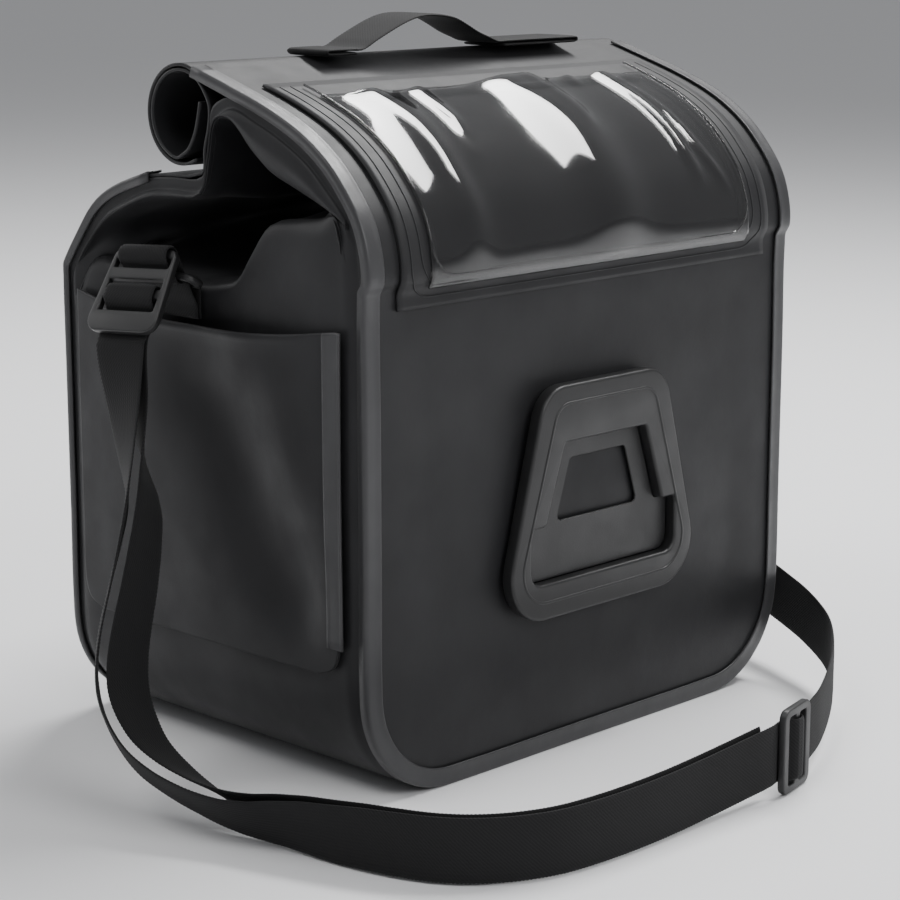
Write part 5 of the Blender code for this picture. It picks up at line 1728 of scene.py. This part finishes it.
# Shoulder strap from the slider round the right front corner and up to the right buckle
STRAP_RIGHT = (
    # side, back, up, edge_side, edge_back, edge_up, open
    (0.330, -1.980, 0.093, 0.00, 0.00, 1.00, 0.0),
    (0.560, -1.800, 0.098, 0.00, 0.00, 1.00, 0.0),
    (0.760, -1.610, 0.108, 0.00, 0.00, 1.00, 0.0),
    (0.905, -1.420, 0.126, 0.00, 0.00, 1.00, 0.0),
    (1.020, -1.150, 0.150, 0.00, -0.05, 1.00, 0.0),
    (1.120, -0.850, 0.168, 0.00, -0.10, 1.00, 0.0),
    (1.210, -0.540, 0.200, 0.00, -0.35, 0.95, 0.0),
    (1.290, -0.270, 0.290, 0.00, -0.75, 0.60, 0.0),
    (1.335, -0.120, 0.430, 0.00, -1.00, 0.20, 0.0),
    (1.345, -0.070, 0.590, 0.00, -1.00, 0.05, 0.0),
)


def slider_frame():
    """Middle of the slider, and its along, up and out directions."""
    turn = math.radians(SLIDER_TURN)
    along = Vector((math.cos(turn), math.sin(turn), 0.0))
    up = Vector((0.0, 0.0, 1.0))
    middle = Vector((SLIDER_SIDE, -DEPTH / 2 - SLIDER_FRONT, SLIDER_HEIGHT / 2 + STRAP_FLOOR))
    return middle, along, up, along.cross(up)


def strap_stations(table):
    """Stations of a strap table in metres: (centre, edge direction, opening angle)."""
    half, deep = WIDTH / 2, DEPTH / 2
    return [(Vector((row[0] * half, row[1] * deep, row[2] * SHOULDER)), Vector(row[3:6]), row[6])
            for row in table]


def settle(centre, edge, along, way):
    """Centre of the webbing, moved up one way where its lower edge would pass through the floor."""
    face = edge.cross(along).normalized()
    reach = abs(edge.normalized().z) * WEBBING / 2 + abs(face.z) * WEB_THICK / 2
    lift = max(0.0, reach + STRAP_FLOOR - centre.z)
    return centre + way * (lift / way.z) if lift else centre


def refine(stations, steps):
    """Stations on one smooth curve through the given ones."""
    centres = smooth([station[0] for station in stations], steps)
    edges = smooth([station[1].normalized() for station in stations], steps)
    opens = smooth([Vector((station[2], 0.0)) for station in stations], steps)
    result = []
    last = len(centres) - 1
    for i, (centre, edge, angle) in enumerate(zip(centres, edges, opens)):
        along = centres[min(i + 1, last)] - centres[max(i - 1, 0)]
        across = edge - along * (edge.dot(along) / along.length_squared)
        result.append((settle(centre, across, along, Vector((0.0, 0.0, 1.0))), across, angle.x))
    return result


def buckle_loop(side):
    """Webbing round a buckle's strap bar, from behind the bar to below the buckle's foot."""
    buckle = buckle_frame(side)
    rise = -BAR / 2
    second, third = bar_places()[1:]
    near = BUCKLE_THICK / 2 + GAP + WEB_THICK / 2
    start, stop = rise + second[1], rise + third[0]
    middle, below = (start + stop) / 2, rise + third[1]
    foot = rise + BUCKLE_LENGTH
    turn = near - BUCKLE_THICK / 2 + GAP
    path = [(middle, -near), (start, -near), (start - 0.75 * turn, -near + 0.35 * turn),
            (start - turn, -near / 2), (start - turn, near / 2), (start - 0.75 * turn, near - 0.35 * turn),
            (start, near), (stop, near), (stop + 0.75 * turn, near - 0.35 * turn),
            (stop + turn * 1.3, near / 2), (below - turn * 1.3, -near / 2),
            (below - 0.75 * turn, -near + 0.35 * turn), (below, -near), (foot, -near),
            (foot + LOOP_RUN, -near - GAP)]
    return [(in_buckle(buckle, down, out), buckle[1], 0.0) for down, out in path]


def slider_weave():
    """Webbing through the slider: behind its end bars and in front of its middle bar."""
    middle, along, up, out = slider_frame()
    front = SLIDER_THICK / 2 + GAP + WEB_THICK / 2
    slot = SLIDER_BAR / 2 + SLIDER_SLOT / 2
    end = SLIDER_LENGTH / 2
    dip = front - WEAVE_DIP
    half = [(WEAVE_TIGHT - slot, dip), (-slot, 0.0), (-slot - WEAVE_EASE, -front), (-end - WEAVE_RUN, -front)]
    path = half[::-1] + [(0.0, front)] + [(-step, lift) for step, lift in half]
    return [(middle + along * step + out * lift, up, 0.0) for step, lift in path]


def second_layer(stations, buckle):
    """Stations of the strap's inner layer, which starts behind the buckle's bar and ends at the slider."""
    step_in = WEB_THICK + GAP
    near_bar = BUCKLE_THICK / 2 + GAP + WEB_THICK / 2
    stop, below = (place - BAR / 2 for place in bar_places()[2])
    second = []
    for down, out in ((stop - BAR / 2 + 2 * GAP, -near_bar), (stop, -near_bar - GAP),
                      (stop + BAR / 2, -near_bar - step_in), (below, -near_bar - step_in - GAP)):
        second.append((in_buckle(buckle, down, out), buckle[1]))
    for index in range(len(stations) - 1):
        centre, edge, angle = stations[index]
        along = (stations[index + 1][0] - stations[max(index - 1, 0)][0]).normalized()
        across = (edge - along * edge.dot(along)).normalized()
        out = along.cross(across)
        turned = Matrix.Rotation(math.radians(angle), 3, along) @ across
        inward = step_in + LAYER_SLACK * min(1, index) + GAP
        pivot = centre + across * (WEBBING / 2) - out * inward
        second.append((settle(pivot - turned * (WEBBING / 2), turned, along, turned), turned))
    return second


print("strap places", len(STRAP_LEFT), "on the left and", len(STRAP_RIGHT), "on the right")

# %% Slider
SLIDER_TURNS = 8


def slider():
    """Slider with two slots, standing on the floor round the strap."""
    middle, along, up, out = slider_frame()
    matrix = Matrix((along, up, out)).transposed().to_4x4()
    matrix.translation = middle
    wide, high = SLIDER_LENGTH / 2, SLIDER_HEIGHT / 2
    outline = rounded_outline([(-wide, -high), (wide, -high), (wide, high), (-wide, high)],
                              [SLIDER_ROUND] * 4, SLIDER_TURNS)
    slot_high = WEBBING / 2 + 2 * GAP + SLOT_SLACK
    bar = SLIDER_BAR / 2
    outlines = [outline]
    for sign in (-1, 1):
        near, far = sorted((sign * bar, sign * (bar + SLIDER_SLOT)))
        box = [(near, -slot_high), (far, -slot_high), (far, slot_high), (near, slot_high)]
        outlines.append(rounded_outline(box, [SLIDER_SLOT_ROUND] * 4, SLOT_TURNS))
    thing = plate("slider_plate", outlines, SLIDER_THICK, SLIDER_SOFT, matrix, PLASTIC)
    return dress(thing, "moulded_plastic", "strap_slider")


slider()


# %% Strap
INNER_REACH = 0.9
STRAP_STEPS = 2


def strap():
    """Shoulder strap and its second layer."""
    left, right = strap_stations(STRAP_LEFT), strap_stations(STRAP_RIGHT)
    loop_left, loop_right = buckle_loop(-1), buckle_loop(1)
    weave = slider_weave()
    near = refine([loop_left[-1]] + left + [weave[0]], STRAP_STEPS)
    far = refine([weave[-1]] + right + [loop_right[-1]], STRAP_STEPS)
    stations = loop_left[:-1] + near[:-1] + weave + far[1:] + loop_right[-2::-1]
    outer = [(centre, edge) for centre, edge, _ in stations]
    dress(band("strap_band", outer), "webbing", "shoulder_strap")
    inner = second_layer(near, buckle_frame(-1))
    inner.append((inner[-1][0] + (near[-1][0] - near[-2][0]) * INNER_REACH, inner[-1][1]))
    dress(band("strap_inner_band", inner), "webbing", "strap_second_layer")


strap()
